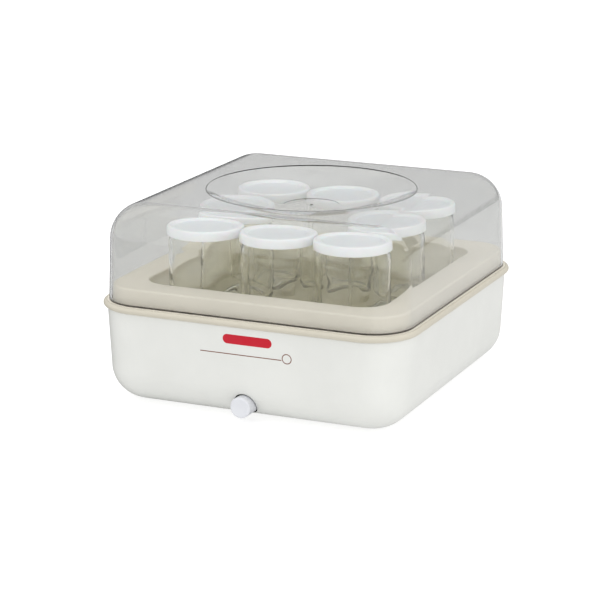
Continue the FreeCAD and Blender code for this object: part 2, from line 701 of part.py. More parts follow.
def heater_clips():
    """Aluminium saddles that hold the heating cord to the plate."""
    clips = []
    for y in heater_rows():
        for x in (-34.0, 34.0):
            clip = box((x - 4, y - 4, HEATER_Z - HEATER_RADIUS - 0.8), (x + 4, y + 4, SPREADER_Z))
            clip = clip.cut(box((x - 5, y - 5, HEATER_Z), (x + 5, y - 2.6, SPREADER_Z - 0.6)))
            clip = clip.cut(box((x - 5, y + 2.6, HEATER_Z), (x + 5, y + 5, SPREADER_Z - 0.6)))
            clip = clip.cut(cylinder(HEATER_RADIUS + 0.08, Vector(x - 5, y, HEATER_Z), X_AXIS, 10.0))
            clips.append(clip)
    return clips


def thermostat():
    """Disc thermostat under the middle of the plate, with a flange and two blade terminals."""
    top = SPREADER_Z
    points = [
        (0.0, top), (7.6, top), (7.8, top - 5.2), (12.0, top - 5.2), (12.0, top - 6.4),
        (8.0, top - 6.4), (8.0, top - 13.0), (0.0, top - 13.0),
    ]
    body = revolve(points)
    for x in (-4.0, 4.0):
        body = body.fuse(box((x - 0.4, -2.4, top - 22.0), (x + 0.4, 2.4, top - 12.0)))
    return body


def insulation_pad():
    """Felt pad that keeps the heat under the jars."""
    pad = tapered_block(PAD_HALF_X, PAD_HALF_Y, 8.0, PAD_Z, PAD_TOP_Z)
    pad = pad.cut(cylinder(14.0, Vector(0, 0, 0), Z_AXIS, 100.0))
    pad = pad.cut(cylinder(7.0, Vector(FUSE_X, FUSE_Y, 0), Z_AXIS, 100.0))
    for x, y in PILLARS:
        pad = pad.cut(cylinder(PILLAR_HOLE, Vector(x, y, 0), Z_AXIS, 100.0))
    return pad


def pad_retainer():
    """Thin steel plate screwed to the pillars below the felt pad."""
    plate = tapered_block(PAD_HALF_X - 4, PAD_HALF_Y - 4, 8.0, RETAINER_Z, PAD_Z)
    plate = plate.cut(cylinder(13.0, Vector(0, 0, 0), Z_AXIS, 100.0))
    for x, y in PILLARS:
        plate = plate.cut(cylinder(1.5, Vector(x, y, 0), Z_AXIS, 100.0))
    for x, y in four_places(40.0, 46.0).values():
        window = tapered_block(20.0, 14.0, 5.0, 0.0, 100.0)
        window.translate(Vector(x, y, 0))
        plate = plate.cut(window)
    return plate


def retainer_screws():
    """Four screws through the retainer into the pillars."""
    return [screw(Vector(x, y, RETAINER_Z), Z_AXIS, 8.0, 2.8, 1.05) for x, y in PILLARS]


def thermal_fuse():
    """Axial thermal fuse in its sleeve, held against the plate beside the thermostat."""
    start = Vector(FUSE_X - 7.0, FUSE_Y, SPREADER_Z - FUSE_DROP)
    body = cylinder(FUSE_RADIUS, start, X_AXIS, 14.0)
    return body.fuse(cylinder(0.5, start - X_AXIS * 6, X_AXIS, 26.0))


def fuse_strap():
    """Folded strap that presses the fuse on the plate."""
    fuse_z = SPREADER_Z - FUSE_DROP
    slot = FUSE_RADIUS + 0.1
    strap = box((FUSE_X - 4, FUSE_Y - 5, fuse_z - FUSE_DROP), (FUSE_X + 4, FUSE_Y + 5, SPREADER_Z))
    strap = strap.cut(cylinder(slot, Vector(FUSE_X - 6, FUSE_Y, fuse_z), X_AXIS, 12.0))
    return strap.cut(box((FUSE_X - 6, FUSE_Y - slot, fuse_z), (FUSE_X + 6, FUSE_Y + slot, SPREADER_Z)))


# ---- mains wiring -------------------------------------------------------------------------------

def cord_gland():
    """Rubber bushing in the rear wall that a mains cord passes through."""
    wall_y = SHELL_HALF_Y - SHELL_TAPER * (SHELL_TOP_Z - GLAND_Z) / SHELL_HEIGHT
    inner_y = wall_y - SHELL_WALL
    reach = wall_y + 4.6
    start = inner_y - 6.0
    points = [
        (GLAND_BORE, start), (6.0, start), (7.8, inner_y - 2.6), (7.8, inner_y - 0.5), (6.2, inner_y - 0.5),
        (6.2, wall_y + 0.5), (8.6, wall_y + 0.5), (8.6, wall_y + 1.8), (6.4, reach), (GLAND_BORE, reach),
    ]
    gland = revolve(points)
    gland.rotate(Vector(0, 0, 0), X_AXIS, -90)
    gland.translate(Vector(GLAND_X, 0, GLAND_Z))
    return gland


def cord_clamp():
    """Bridge that would grip the cord's sheath on the ledge inside the rear wall."""
    low_z = GLAND_Z - 4.0
    front = CLAMP_Y - 4.5
    bridge = box((GLAND_X - 15, front, low_z), (GLAND_X + 15, front + 9, low_z + 3))
    bridge = bridge.fuse(cylinder(5.6, Vector(GLAND_X, front, GLAND_Z), Y_AXIS, 9.0))
    bridge = bridge.cut(cylinder(GLAND_BORE + 0.2, Vector(GLAND_X, front - 5, GLAND_Z), Y_AXIS, 30.0))
    bridge = bridge.cut(box((GLAND_X - 16, front - 5, low_z - 4), (GLAND_X + 16, front + 14, low_z)))
    for x in (GLAND_X - CLAMP_SCREW_X, GLAND_X + CLAMP_SCREW_X):
        bridge = bridge.cut(cylinder(1.5, Vector(x, CLAMP_Y, 0), Z_AXIS, 100.0))
    return bridge


def clamp_screws():
    """Two screws that hold the cord clamp on its ledge."""
    top = GLAND_Z - 1.0
    down = Z_AXIS * -1
    places = [Vector(GLAND_X + side * CLAMP_SCREW_X, CLAMP_Y, top) for side in (-1, 1)]
    return [screw(place, down, 9.0, SMALL_HEAD, SMALL_THREAD) for place in places]


def terminal_places():
    """X places of the three terminals of the block."""
    return [GLAND_X + way * BLOCK_PITCH for way in (-1, 0, 1)]


def terminal_block():
    """Three-way terminal block screwed to the cover."""
    low_z = COVER_TOP_Z
    front = BLOCK_Y - BLOCK_HALF
    back = BLOCK_Y + BLOCK_HALF
    block = box((GLAND_X - 22, front, low_z), (GLAND_X + 22, back, low_z + 3))
    block = block.fuse(box((GLAND_X - 16, front, low_z), (GLAND_X + 16, back, low_z + 13)))
    for x in terminal_places():
        block = block.cut(cylinder(2.2, Vector(x, BLOCK_Y - 10, low_z + 7), Y_AXIS, 20.0))
        block = block.cut(cylinder(2.4, Vector(x, BLOCK_Y, low_z + 7), Z_AXIS, 10.0))
    for x in (GLAND_X - BLOCK_SCREW_X, GLAND_X + BLOCK_SCREW_X):
        block = block.cut(cylinder(1.2, Vector(x, BLOCK_Y, 0), Z_AXIS, 30.0))
    return block


def terminal_screws():
    """Brass clamping screws in the terminal block."""
    low_z = COVER_TOP_Z + 8.9
    return [cylinder(2.2, Vector(x, BLOCK_Y, low_z), Z_AXIS, 3.4) for x in terminal_places()]


def block_screws():
    """Two screws that hold the terminal block on the cover."""
    down = Z_AXIS * -1
    top = COVER_TOP_Z + 3
    places = [Vector(GLAND_X + side * BLOCK_SCREW_X, BLOCK_Y, top) for side in (-1, 1)]
    return [screw(place, down, 4.6, SMALL_HEAD, SMALL_THREAD) for place in places]


def wiring():
    """Insulated leads between terminal block, switch, thermostat and heating cord."""
    block_z = COVER_TOP_Z + 7
    tab_z = SPREADER_Z - 22.5
    crimp_z = TAIL_END_Z - CRIMP_LENGTH - 0.5
    first = heater_rows()[0]
    last = heater_rows()[-1]
    left = GLAND_X - BLOCK_PITCH
    routes = {
        "lead_supply": [
            (left, BLOCK_Y - 3, block_z), (left, 20, block_z), (36, -6, 12.5), (14, -36, 14),
            (5, -57, BUTTON_Z),
        ],
        "lead_switched": [
            (-5, -57, BUTTON_Z), (-8, -40, 16), (-3, -18, 23), (4, 0, 28), (4, 0, tab_z),
        ],
        "lead_heater": [
            (-4, 0, tab_z), (-4, 0, 28), (-32, -10, 25), (-66, -50, 23), (-HEATER_TAIL, first, 23),
            (-HEATER_TAIL, first, crimp_z),
        ],
        "lead_neutral": [
            (GLAND_X, BLOCK_Y + 3, block_z), (GLAND_X, 62, block_z), (38, 68, 14), (-10, 64, 18),
            (-60, 68, 20), (-HEATER_TAIL, last, 23), (-HEATER_TAIL, last, crimp_z),
        ],
    }
    return {name: tube_along(points, LEAD_RADIUS) for name, points in routes.items()}


def heater_crimps():
    """Crimped sleeves that join the heating cord's tails to their leads."""
    low_z = TAIL_END_Z - CRIMP_LENGTH
    ends = (heater_rows()[0], heater_rows()[-1])
    return [cylinder(2.6, Vector(-HEATER_TAIL, y, low_z), Z_AXIS, CRIMP_LENGTH) for y in ends]


# ---- writing the parts --------------------------------------------------------------------------

def all_parts():
    """Every sub-part by node name."""
    parts = {
        "outer_shell": outer_shell(),
        "bottom_cover": bottom_cover(),
        "jar_tray": jar_tray(),
        "lid": lid(),
        "power_button": power_button(),
        "button_clip": button_clip(),
        "button_spring": button_spring(),
        "switch_bracket": switch_bracket(),
        "bracket_screws": Part.makeCompound(bracket_screws()),
        "switch_body": switch_body(),
        "switch_tabs": Part.makeCompound(switch_tabs()),
        "switch_plunger": switch_plunger(),
        "heat_spreader": heat_spreader(),
        "heater_cord": heater_cord(),
        "heater_clips": Part.makeCompound(heater_clips()),
        "heater_crimps": Part.makeCompound(heater_crimps()),
        "thermostat": thermostat(),
        "thermal_fuse": thermal_fuse(),
        "fuse_strap": fuse_strap(),
        "insulation_pad": insulation_pad(),
        "pad_retainer": pad_retainer(),
        "retainer_screws": Part.makeCompound(retainer_screws()),
        "cord_gland": cord_gland(),
        "cord_clamp": cord_clamp(),
        "clamp_screws": Part.makeCompound(clamp_screws()),
        "terminal_block": terminal_block(),
        "terminal_screws": Part.makeCompound(terminal_screws()),
        "block_screws": Part.makeCompound(block_screws()),
    }
    parts.update(wiring())
    for name, (x, y) in four_places(FOOT_X, FOOT_Y).items():
        parts["foot_" + name] = foot(x, y)
    for name, (x, y) in four_places(BOSS_X, BOSS_Y).items():
        parts["cover_screw_" + name] = screw(Vector(x, y, FOOT_HEIGHT + HEAD_THICK), Z_AXIS, 14.0)
    for name in JARS:
        parts["jar_" + name] = jar(name)
        parts["cap_" + name] = jar_cap(name)
    return parts


def main():
    """Write one STEP file for each sub-part."""
    os.makedirs("parts", exist_ok=True)
    for name, shape in all_parts().items():
        shape.exportStep("parts/" + name + ".step")
        state = "valid" if shape.isValid() else "NOT VALID"
        print(f"{name}: {state}, {len(shape.Solids)} solid(s), {shape.Volume / 1000:.2f} cm3")


main()
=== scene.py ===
"""Looks of the electric yogurt maker: shell, tray, clear lid, glass jars, caps and button.

Units are metres, +Z is up and the front faces -Y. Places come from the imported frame.
"""
import json
from math import atan, atan2, cos, pi, radians, sin, sqrt

import bmesh
import bpy
from mathutils import Matrix, Vector


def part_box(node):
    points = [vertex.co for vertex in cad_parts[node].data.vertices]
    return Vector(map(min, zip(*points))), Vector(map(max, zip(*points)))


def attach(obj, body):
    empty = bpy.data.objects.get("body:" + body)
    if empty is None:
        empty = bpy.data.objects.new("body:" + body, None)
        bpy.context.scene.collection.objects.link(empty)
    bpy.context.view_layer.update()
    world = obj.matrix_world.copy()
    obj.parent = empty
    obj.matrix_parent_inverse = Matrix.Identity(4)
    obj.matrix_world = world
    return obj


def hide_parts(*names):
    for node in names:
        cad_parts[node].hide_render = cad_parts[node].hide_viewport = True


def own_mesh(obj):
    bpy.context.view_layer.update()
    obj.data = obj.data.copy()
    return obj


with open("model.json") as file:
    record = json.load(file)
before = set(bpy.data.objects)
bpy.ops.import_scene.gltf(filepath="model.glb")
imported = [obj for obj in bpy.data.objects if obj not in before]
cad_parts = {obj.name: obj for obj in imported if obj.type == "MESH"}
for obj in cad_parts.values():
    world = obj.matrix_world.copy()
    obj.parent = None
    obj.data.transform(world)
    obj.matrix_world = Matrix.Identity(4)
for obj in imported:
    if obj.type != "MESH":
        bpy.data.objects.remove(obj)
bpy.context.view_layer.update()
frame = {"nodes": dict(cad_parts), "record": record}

# ---- driving dimensions -------------------------------------------------------------------------

MM = 0.001

# Rounded-rectangle rings: steps round each corner and along each side
CORNER_STEPS = 14
SIDE_STEPS = 24
ROUND_STEPS = 48
LATHE_STEPS = 128

# Outer shell
SHELL_LOW, SHELL_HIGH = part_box("outer_shell")
SHELL_CORNER = 35.9 * MM
SHELL_TAPER = 3.85 * MM
SHELL_BELLY = 28.6 * MM
SHELL_WALL = 2.5 * MM
SHELL_OPENING = (88.0 * MM, 92.0 * MM, 10.0 * MM)
SHELL_POCKET = (96.0 * MM, 100.0 * MM, 12.0 * MM)
POCKET_DEPTH = 2.2 * MM
LEDGE_TOP = 4.7 * MM
GLAND_HOLE = 6.4 * MM

# Tray. The jars stand on the well's floor; a painted shade darkens it, fading out over the height
# WELL_SHADE.
TRAY_LOW, TRAY_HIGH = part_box("jar_tray")
BEAD_CORNER = 39.0 * MM
BEAD_ROUND = 2.64 * MM
BEAD_JOINT = 3.3 * MM
COLLAR = (126.9 * MM, 130.6 * MM, 28.5 * MM)
COLLAR_ROUND = 2.0 * MM
COLLAR_TAPER = 0.4 * MM
WELL = (102.7 * MM, 106.0 * MM, 20.6 * MM)
WELL_TAPER = 1.6 * MM
WELL_ROUND = 4.0 * MM
WELL_EDGE = 1.6 * MM
TRAY_WALL = 2.2 * MM
WELL_SHADE = 14.0 * MM
POST_X = 32.65 * MM
POST_Y = 34.25 * MM

# Lid, which stands on the tray's flange
LID_LOW, LID_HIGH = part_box("lid")
FLANGE_Z = LID_LOW.z - 0.3 * MM
LID_CORNER = 33.2 * MM
LID_TAPER = 2.95 * MM
LID_ROUND = 29.4 * MM
LID_WALL = 1.7 * MM
LID_EDGE_BAND = 1.2 * MM
DISH_RADIUS = 86.0 * MM
DISH_DEPTH = 14.7 * MM
DISH_FLAT = 22.8 * MM
DISH_RIM = 1.2 * MM

# Jars and caps
JAR_NAMES = [name[4:] for name in frame["nodes"] if name.startswith("jar_") and name != "jar_tray"]
CAP_WALL = 1.3 * MM
CAP_TOP = 1.3 * MM
CAP_RIM = 1.5 * MM
CAP_RISE = 0.6 * MM
CAP_DROP = 0.9 * MM
JAR_WALL = 2.4 * MM
JAR_NECK_DROP = 4.5 * MM
JAR_SHOULDER = 9.0 * MM
JAR_HEEL = 6.0 * MM
JAR_FLOOR = 3.6 * MM
JAR_TURN = 1.9

# Button and its return spring
BUTTON_HOLE = 9.6 * MM
SPRING_RADIUS = 6.2 * MM
SPRING_WIRE = 0.45 * MM
SPRING_TURNS = 4
BUTTON_LENGTH = 18.3 * MM
BUTTON_EDGE = 1.4 * MM
STEM_RADIUS = 4.6 * MM

# Mark on the front. Strokes: ends in x, height, half width. Ring: centre, radius, half width.
BAR = ((-16.0 * MM, 26.0 * MM), 68.8 * MM, 3.9 * MM)
LINE = ((-36.0 * MM, 34.0 * MM), 56.5 * MM, 0.38 * MM)
RING = ((38.5 * MM, 58.0 * MM), 3.8 * MM, 0.38 * MM)

# Camera, as far from the object as it takes for the photograph's perspective
CAMERA_AZIMUTH = 24.167
CAMERA_ELEVATION = 15.211
CAMERA_ROLL = -0.128
CAMERA_DISTANCE = 1.8999
CAMERA_AIM_RIGHT = -0.0137
CAMERA_AIM_HEIGHT = 0.07156
CAMERA_LENS = 139.95

# Studio. The first three levels are the world's brightness in front, behind and overhead.
# MIRRORED_FLOOR is the floor's brightness in mirror images, from the left to the right of the
# camera's line of sight. HORIZON_LEVEL is left of the mirrored backdrop near the floor, and
# SEEN_THROUGH is how far rays through clear pieces see the backdrop as white as the camera does.
FRONT_LEVEL = 1.0
BACK_LEVEL = 0.65
TOP_LEVEL = 1.1
MIRRORED_FLOOR = (0.0, 0.65)
HORIZON_LEVEL = 0.25
SEEN_THROUGH = 0.45
OVERHEAD_POWER = 13.0
FRONT_POWER = 8.3
SIDE_POWER = 10.0

# Colours that light and reflections were balanced with
SHELL_COLOUR = (0.61, 0.615, 0.59)
# The bead is the tray's own beige plastic: the bead's colour is a darker copy of it (painted shade),
# the tray's a lighter copy (painted light under the lid)
BEAD_SHADED_COLOUR = (0.48, 0.45, 0.375)
TRAY_LIT_COLOUR = (0.79, 0.745, 0.645)
# Painted light on the well's walls and painted shade on its floor, in place of how light falls into the
# well
WELL_WALL_PAINTED_LIGHT = (0.91, 0.88, 0.80)
WELL_FLOOR_PAINTED_SHADE = (0.46, 0.43, 0.32)
LID_TINT = (0.716, 0.72, 0.718)
LID_OUTLINE = (0.28, 0.28, 0.30)
BAR_COLOUR = (0.47, 0.006, 0.02)
LINE_COLOUR = (0.17, 0.06, 0.035)


# ---- mesh helpers -------------------------------------------------------------------------------

class Outline:
    """A rounded rectangle in plan, and the rings inside it."""

    def __init__(self, half_x, half_y, corner):
        self.half_x = half_x
        self.half_y = half_y
        self.corner = corner

    def ring(self, inset, z):
        """Points of the outline moved inwards by inset, at height z."""
        corner = max(self.corner - inset, 0.4 * MM)
        reach_x = self.half_x - inset - corner
        reach_y = self.half_y - inset - corner
        signs = ((1, 1), (-1, 1), (-1, -1), (1, -1))
        points = []
        for index, (sign_x, sign_y) in enumerate(signs):
            start = index * pi / 2
            for step in range(CORNER_STEPS + 1):
                angle = start + step / CORNER_STEPS * pi / 2
                x = sign_x * reach_x + corner * cos(angle)
                y = sign_y * reach_y + corner * sin(angle)
                points.append(Vector((x, y, z)))
            next_x, next_y = signs[(index + 1) % 4]
            turn = start + pi / 2
            end_x = next_x * reach_x + corner * cos(turn)
            end_y = next_y * reach_y + corner * sin(turn)
            end = Vector((end_x, end_y, z))
            last = points[-1].copy()
            for step in range(1, SIDE_STEPS):
                points.append(last.lerp(end, step / SIDE_STEPS))
        return points

    def circle(self, radius, z):
        """Points on a circle that face the outline's points, at height z."""
        points = []
        for point in self.ring(self.corner * 0.98, z):
            way = Vector((point.x / self.half_x, point.y / self.half_y, 0)).normalized()
            points.append(Vector((way.x * radius, way.y * radius, z)))
        return points


def arc(centre, radius, start, end, steps):
    """Points (across, up) on an arc from start to end degrees; 0 points outwards, 90 up."""
    points = []
    for step in range(steps + 1):
        angle = radians(start + (end - start) * step / steps)
        points.append((centre[0] + radius * cos(angle), centre[1] + radius * sin(angle)))
    return points


def mesh_from_rings(name, rings, closed=False, caps=False, sharp=35.0):
    """Mesh of quads between rings of equal length; sharp is the angle that stays a crease."""
    count = len(rings[0])
    verts = [point for ring in rings for point in ring]
    faces = []
    pairs = len(rings) if closed else len(rings) - 1
    for row in range(pairs):
        low = row * count
        high = (row + 1) % len(rings) * count
        for index in range(count):
            following = (index + 1) % count
            faces.append((low + index, low + following, high + following, high + index))
    if caps:
        faces.append(tuple(reversed(range(count))))
        top = (len(rings) - 1) * count
        faces.append(tuple(range(top, top + count)))
    mesh = bpy.data.meshes.new(name)
    mesh.from_pydata([tuple(v) for v in verts], [], faces)
    return finish_mesh(mesh, sharp)


def finish_mesh(mesh, sharp=35.0):
    """Outward normals, smooth shading and creases at edges sharper than the angle."""
    work = bmesh.new()
    work.from_mesh(mesh)
    bmesh.ops.remove_doubles(work, verts=work.verts, dist=1e-6)
    bmesh.ops.recalc_face_normals(work, faces=work.faces)
    work.to_mesh(mesh)
    work.free()
    mesh.shade_smooth()
    mesh.set_sharp_from_angle(angle=radians(sharp))
    mesh.update()
    return mesh


def lathe(name, profile, steps=LATHE_STEPS, sharp=35.0):
    """Mesh of revolution about Z from (radius, z) points; points at radius 0 close the ends."""
    work = bmesh.new()
    rows = []
    for radius, z in profile:
        if radius < 1e-7:
            rows.append([work.verts.new((0, 0, z))])
            continue
        row = []
        for step in range(steps):
            angle = 2 * pi * step / steps
            row.append(work.verts.new((radius * cos(angle), radius * sin(angle), z)))
        rows.append(row)
    closed = len(rows[0]) > 1
    for index in range(len(rows) if closed else len(rows) - 1):
        low = rows[index]
        high = rows[(index + 1) % len(rows)]
        for step in range(steps):
            following = (step + 1) % steps
            if len(low) == 1:
                work.faces.new((low[0], high[step], high[following]))
            elif len(high) == 1:
                work.faces.new((low[step], low[following], high[0]))
            else:
                work.faces.new((low[step], low[following], high[following], high[step]))
    mesh = bpy.data.meshes.new(name)
    work.to_mesh(mesh)
    work.free()
    return finish_mesh(mesh, sharp)


def add_piece(name, mesh, body, material, replaced=(), place=(0.0, 0.0, 0.0), turn=0.0):
    """An object of this mesh that rides on a body and stands for the CAD nodes it replaces."""
    piece = bpy.data.objects.new(name, mesh)
    bpy.context.scene.collection.objects.link(piece)
    piece.location = place
    piece.rotation_euler.z = turn
    if not mesh.materials:
        mesh.materials.append(material)
    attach(piece, body)
    if replaced:
        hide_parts(*replaced)
    return piece


def with_modifiers(mesh, set_up):
    """A new mesh: this one with the modifiers that set_up adds, applied."""
    holder = bpy.data.objects.new("holder", mesh)
    bpy.context.scene.collection.objects.link(holder)
    extras = set_up(holder)
    bpy.context.view_layer.update()
    shaped = holder.evaluated_get(bpy.context.evaluated_depsgraph_get())
    result = bpy.data.meshes.new_from_object(shaped)
    for extra in [holder, *extras]:
        bpy.data.objects.remove(extra)
    return result


# ---- material helpers ---------------------------------------------------------------------------

class MathNodes:
    """Short ways to add calculating nodes to a node tree."""

    def __init__(self, tree):
        self.tree = tree

    def math(self, operation, first, second=None):
        """A math node on sockets or numbers."""
        made = self.tree.nodes.new("ShaderNodeMath")
        made.operation = operation
        for index, value in enumerate((first, second)):
            if value is None:
                continue
            if isinstance(value, (int, float)):
                made.inputs[index].default_value = value
            else:
                self.tree.links.new(value, made.inputs[index])
        return made.outputs[0]

    def ramp(self, value, source, target):
        """A smooth step from one level to another."""
        made = self.tree.nodes.new("ShaderNodeMapRange")
        made.interpolation_type = "SMOOTHSTEP"
        made.inputs["From Min"].default_value = source[0]
        made.inputs["From Max"].default_value = source[1]
        made.inputs["To Min"].default_value = target[0]
        made.inputs["To Max"].default_value = target[1]
        self.tree.links.new(value, made.inputs["Value"])
        return made.outputs["Result"]

    def distance(self, first, second):
        """Length of the vector (first, second)."""
        squares = self.math("ADD", self.math("POWER", first, 2.0), self.math("POWER", second, 2.0))
        return self.math("SQRT", squares)

    def stroke(self, x, z, ends, height, half_width):
        """1 on a level stroke with round ends, 0 away from it."""
        middle = (ends[0] + ends[1]) / 2
        reach = (ends[1] - ends[0]) / 2 - half_width
        across = self.math("ABSOLUTE", self.math("SUBTRACT", x, middle))
        beyond = self.math("MAXIMUM", self.math("SUBTRACT", across, reach), 0.0)
        away = self.distance(beyond, self.math("SUBTRACT", z, height))
        return self.within(away, half_width)

    def hoop(self, x, z, centre, radius, half_width):
        """1 on the outline of a circle, 0 away from it."""
        away = self.distance(self.math("SUBTRACT", x, centre[0]), self.math("SUBTRACT", z, centre[1]))
        return self.within(self.math("ABSOLUTE", self.math("SUBTRACT", away, radius)), half_width)

    def within(self, away, half_width):
        """1 up to half_width away, 0 beyond it, with a soft edge."""
        return self.ramp(away, (half_width - 0.1 * MM, half_width + 0.1 * MM), (1.0, 0.0))


class Shader:
    """A Principled material under construction, with short ways to add nodes."""

    def __init__(self, name):
        self.material = bpy.data.materials.new(name)
        self.material.use_nodes = True
        self.tree = self.material.node_tree
        self.surface = self.tree.nodes["Principled BSDF"]
        self.output = self.tree.nodes["Material Output"]
        self.place = self.tree.nodes.new("ShaderNodeTexCoord").outputs["Object"]
        self.maths = MathNodes(self.tree)

    def set(self, **values):
        """Set sockets of the Principled shader; underscores stand for spaces."""
        for key, value in values.items():
            self.surface.inputs[key.replace("_", " ")].default_value = value

    def node(self, kind, **values):
        """A node of this kind with its input sockets set by name."""
        made = self.tree.nodes.new(kind)
        for key, value in values.items():
            made.inputs[key.replace("_", " ")].default_value = value
        return made

    def link(self, source, target):
        """Join two sockets."""
        self.tree.links.new(source, target)

    def feed(self, **sources):
        """Join sources to sockets of the Principled shader; underscores stand for spaces."""
        for key, source in sources.items():
            self.link(source, self.surface.inputs[key.replace("_", " ")])

    def axes(self):
        """The x, y and z of the place on the object."""
        split = self.node("ShaderNodeSeparateXYZ")
        self.link(self.place, split.inputs[0])
        return split.outputs

    def from_axis(self):
        """Distance from the object's own upright axis."""
        x, y, _ = self.axes()
        return self.maths.distance(x, y)

    def noise(self, scale, detail=3.0, roughness=0.5, stretch=None):
        """Noise over the object; scale is in features per metre, stretch squeezes the axes."""
        made = self.node("ShaderNodeTexNoise", Scale=scale, Detail=detail, Roughness=roughness)
        source = self.place
        if stretch is not None:
            mapping = self.node("ShaderNodeMapping")
            mapping.inputs["Scale"].default_value = stretch
            self.link(self.place, mapping.inputs["Vector"])
            source = mapping.outputs["Vector"]
        self.link(source, made.inputs["Vector"])
        return made.outputs["Fac"]

    def spread(self, source, low, high, start=0.3, stop=0.7):
        """Map a 0..1 source between two values."""
        made = self.node("ShaderNodeMapRange")
        made.inputs["From Min"].default_value = start
        made.inputs["From Max"].default_value = stop
        made.inputs["To Min"].default_value = low
        made.inputs["To Max"].default_value = high
        self.link(source, made.inputs["Value"])
        return made.outputs["Result"]

    def colours(self, source, low, high, start=0.35, stop=0.65):
        """Blend two colours by a source."""
        ramp = self.node("ShaderNodeValToRGB")
        ramp.color_ramp.elements[0].position = start
        ramp.color_ramp.elements[0].color = (*low, 1)
        ramp.color_ramp.elements[1].position = stop
        ramp.color_ramp.elements[1].color = (*high, 1)
        self.link(source, ramp.inputs["Fac"])
        return ramp.outputs["Color"]

    def blend(self, factor, first, second):
        """From a first source at factor 0 to the second, a source or a colour, at factor 1."""
        made = self.node("ShaderNodeMix")
        made.data_type = "RGBA"
        self.link(factor, made.inputs["Factor"])
        self.link(first, made.inputs["A"])
        if isinstance(second, tuple):
            made.inputs["B"].default_value = (*second, 1)
        else:
            self.link(second, made.inputs["B"])
        return made.outputs["Result"]

    def paint(self, limit, *layers):
        """Lay (mask, colour) layers over the base colour, only where limit is 1."""
        under = self.surface.inputs["Base Color"].links[0].from_socket
        for mask, colour in layers:
            under = self.blend(self.maths.math("MULTIPLY", mask, limit), under, colour)
        self.feed(Base_Color=under)

    def choose(self, factor, first, second):
        """The first shader at factor 0 and the second at factor 1."""
        made = self.node("ShaderNodeMixShader")
        for source, target in zip((factor, first, second), made.inputs):
            self.link(source, target)
        return made.outputs["Shader"]

    def bump(self, source, strength, distance, under=None):
        """A bump from a height source, on top of another bump if one is given."""
        made = self.node("ShaderNodeBump", Strength=strength, Distance=distance)
        self.link(source, made.inputs["Height"])
        if under is not None:
            self.link(under, made.inputs["Normal"])
        return made.outputs["Normal"]


def shade(colour, factor):
    """A colour made lighter or darker."""
    return tuple(min(channel * factor, 1.0) for channel in colour)


def moulded_plastic(name, colour, roughness, grain=0.04, wave=0.05, extra=None):
    """Injection-moulded plastic: a faint mottle, slight waviness and a fine grain."""
    shader = Shader(name)
    mottle = shader.noise(22.0, 4.0, 0.55)
    smudge = shader.noise(60.0, 3.0, 0.6)
    waviness = shader.bump(shader.noise(45.0, 1.0, 0.4), wave, 0.0006)
    shader.feed(
        Base_Color=shader.colours(mottle, shade(colour, 0.975), shade(colour, 1.015)),
        Roughness=shader.spread(smudge, roughness * 0.88, roughness * 1.14),
        Normal=shader.bump(shader.noise(1400.0, 2.0, 0.6), grain, 0.00012, waviness),
    )
    shader.set(IOR=1.5)
    if extra:
        extra(shader)
    return shader.material


def clear_material(name, tint, absorbed, density, ior):
    """Clear solid material: a tint on its faces, and more taken off with the depth of a ray's way."""
    shader = Shader(name)
    shader.set(Base_Color=(*tint, 1), Roughness=0.0, IOR=ior, Transmission_Weight=1.0)
    depth = shader.node("ShaderNodeVolumeAbsorption", Color=(*absorbed, 1), Density=density)
    shader.link(depth.outputs["Volume"], shader.output.inputs["Volume"])
    open_up(shader)
    return shader


def open_up(shader):
    """Let shadow rays and diffuse rays pass, so that what is inside gets light."""
    rays = shader.node("ShaderNodeLightPath").outputs
    passing = shader.node("ShaderNodeBsdfTransparent", Color=(1.0, 1.0, 1.0, 1)).outputs["BSDF"]
    surface = shader.surface.outputs["BSDF"]
    for ray in ("Is Diffuse Ray", "Is Shadow Ray"):
        surface = shader.choose(rays[ray], surface, passing)
    shader.link(surface, shader.output.inputs["Surface"])


def smoky_plastic():
    """Clear smoky plastic of the lid: darker along its outlines, faintly uneven like a moulding."""
    shader = clear_material("lid_smoke", LID_TINT, (0.30, 0.32, 0.27), 32.0, 1.49)
    slant = shader.node("ShaderNodeLayerWeight", Blend=0.5).outputs["Facing"]
    outside = shader.maths.ramp(shader.from_axis(), (DISH_RADIUS, DISH_RADIUS + 2 * MM), (0.0, 1.0))
    slant = shader.maths.math("MULTIPLY", slant, outside)
    shader.feed(
        Base_Color=shader.colours(slant, LID_TINT, LID_OUTLINE, 0.76, 0.95),
        Normal=shader.bump(shader.noise(9.0, 0.0, 0.3), 0.02, 0.0005),
    )
    return shader.material


def edge_and_gap_painted_shade():
    """Dark look of the smoky plastic at its cut lower edge, darkened further with painted shade for the
    gap between the lid and the tray's bead.
    """
    shader = Shader("lid_edge_painted_shade")
    streaks = shader.noise(260.0, 2.0, 0.5, (1.0, 1.0, 0.2))
    shader.feed(
        # the cut edge's own dark look plus painted shade of the gap under the lid
        Base_Color=shader.colours(streaks, (0.040, 0.034, 0.028), (0.062, 0.053, 0.044)),
        Roughness=shader.spread(streaks, 0.3, 0.42),
    )
    return shader.material


def jar_glass():
    """Pressed glass, faintly green, with soft upright waves from the mould."""
    shader = clear_material("jar_glass", (1.0, 1.0, 0.985), (0.80, 0.82, 0.58), 8.0, 1.5)
    waves = shader.noise(60.0, 1.0, 0.45, (1.0, 1.0, 0.35))
    shader.feed(Normal=shader.bump(waves, 0.45, 0.0011))
    return shader.material


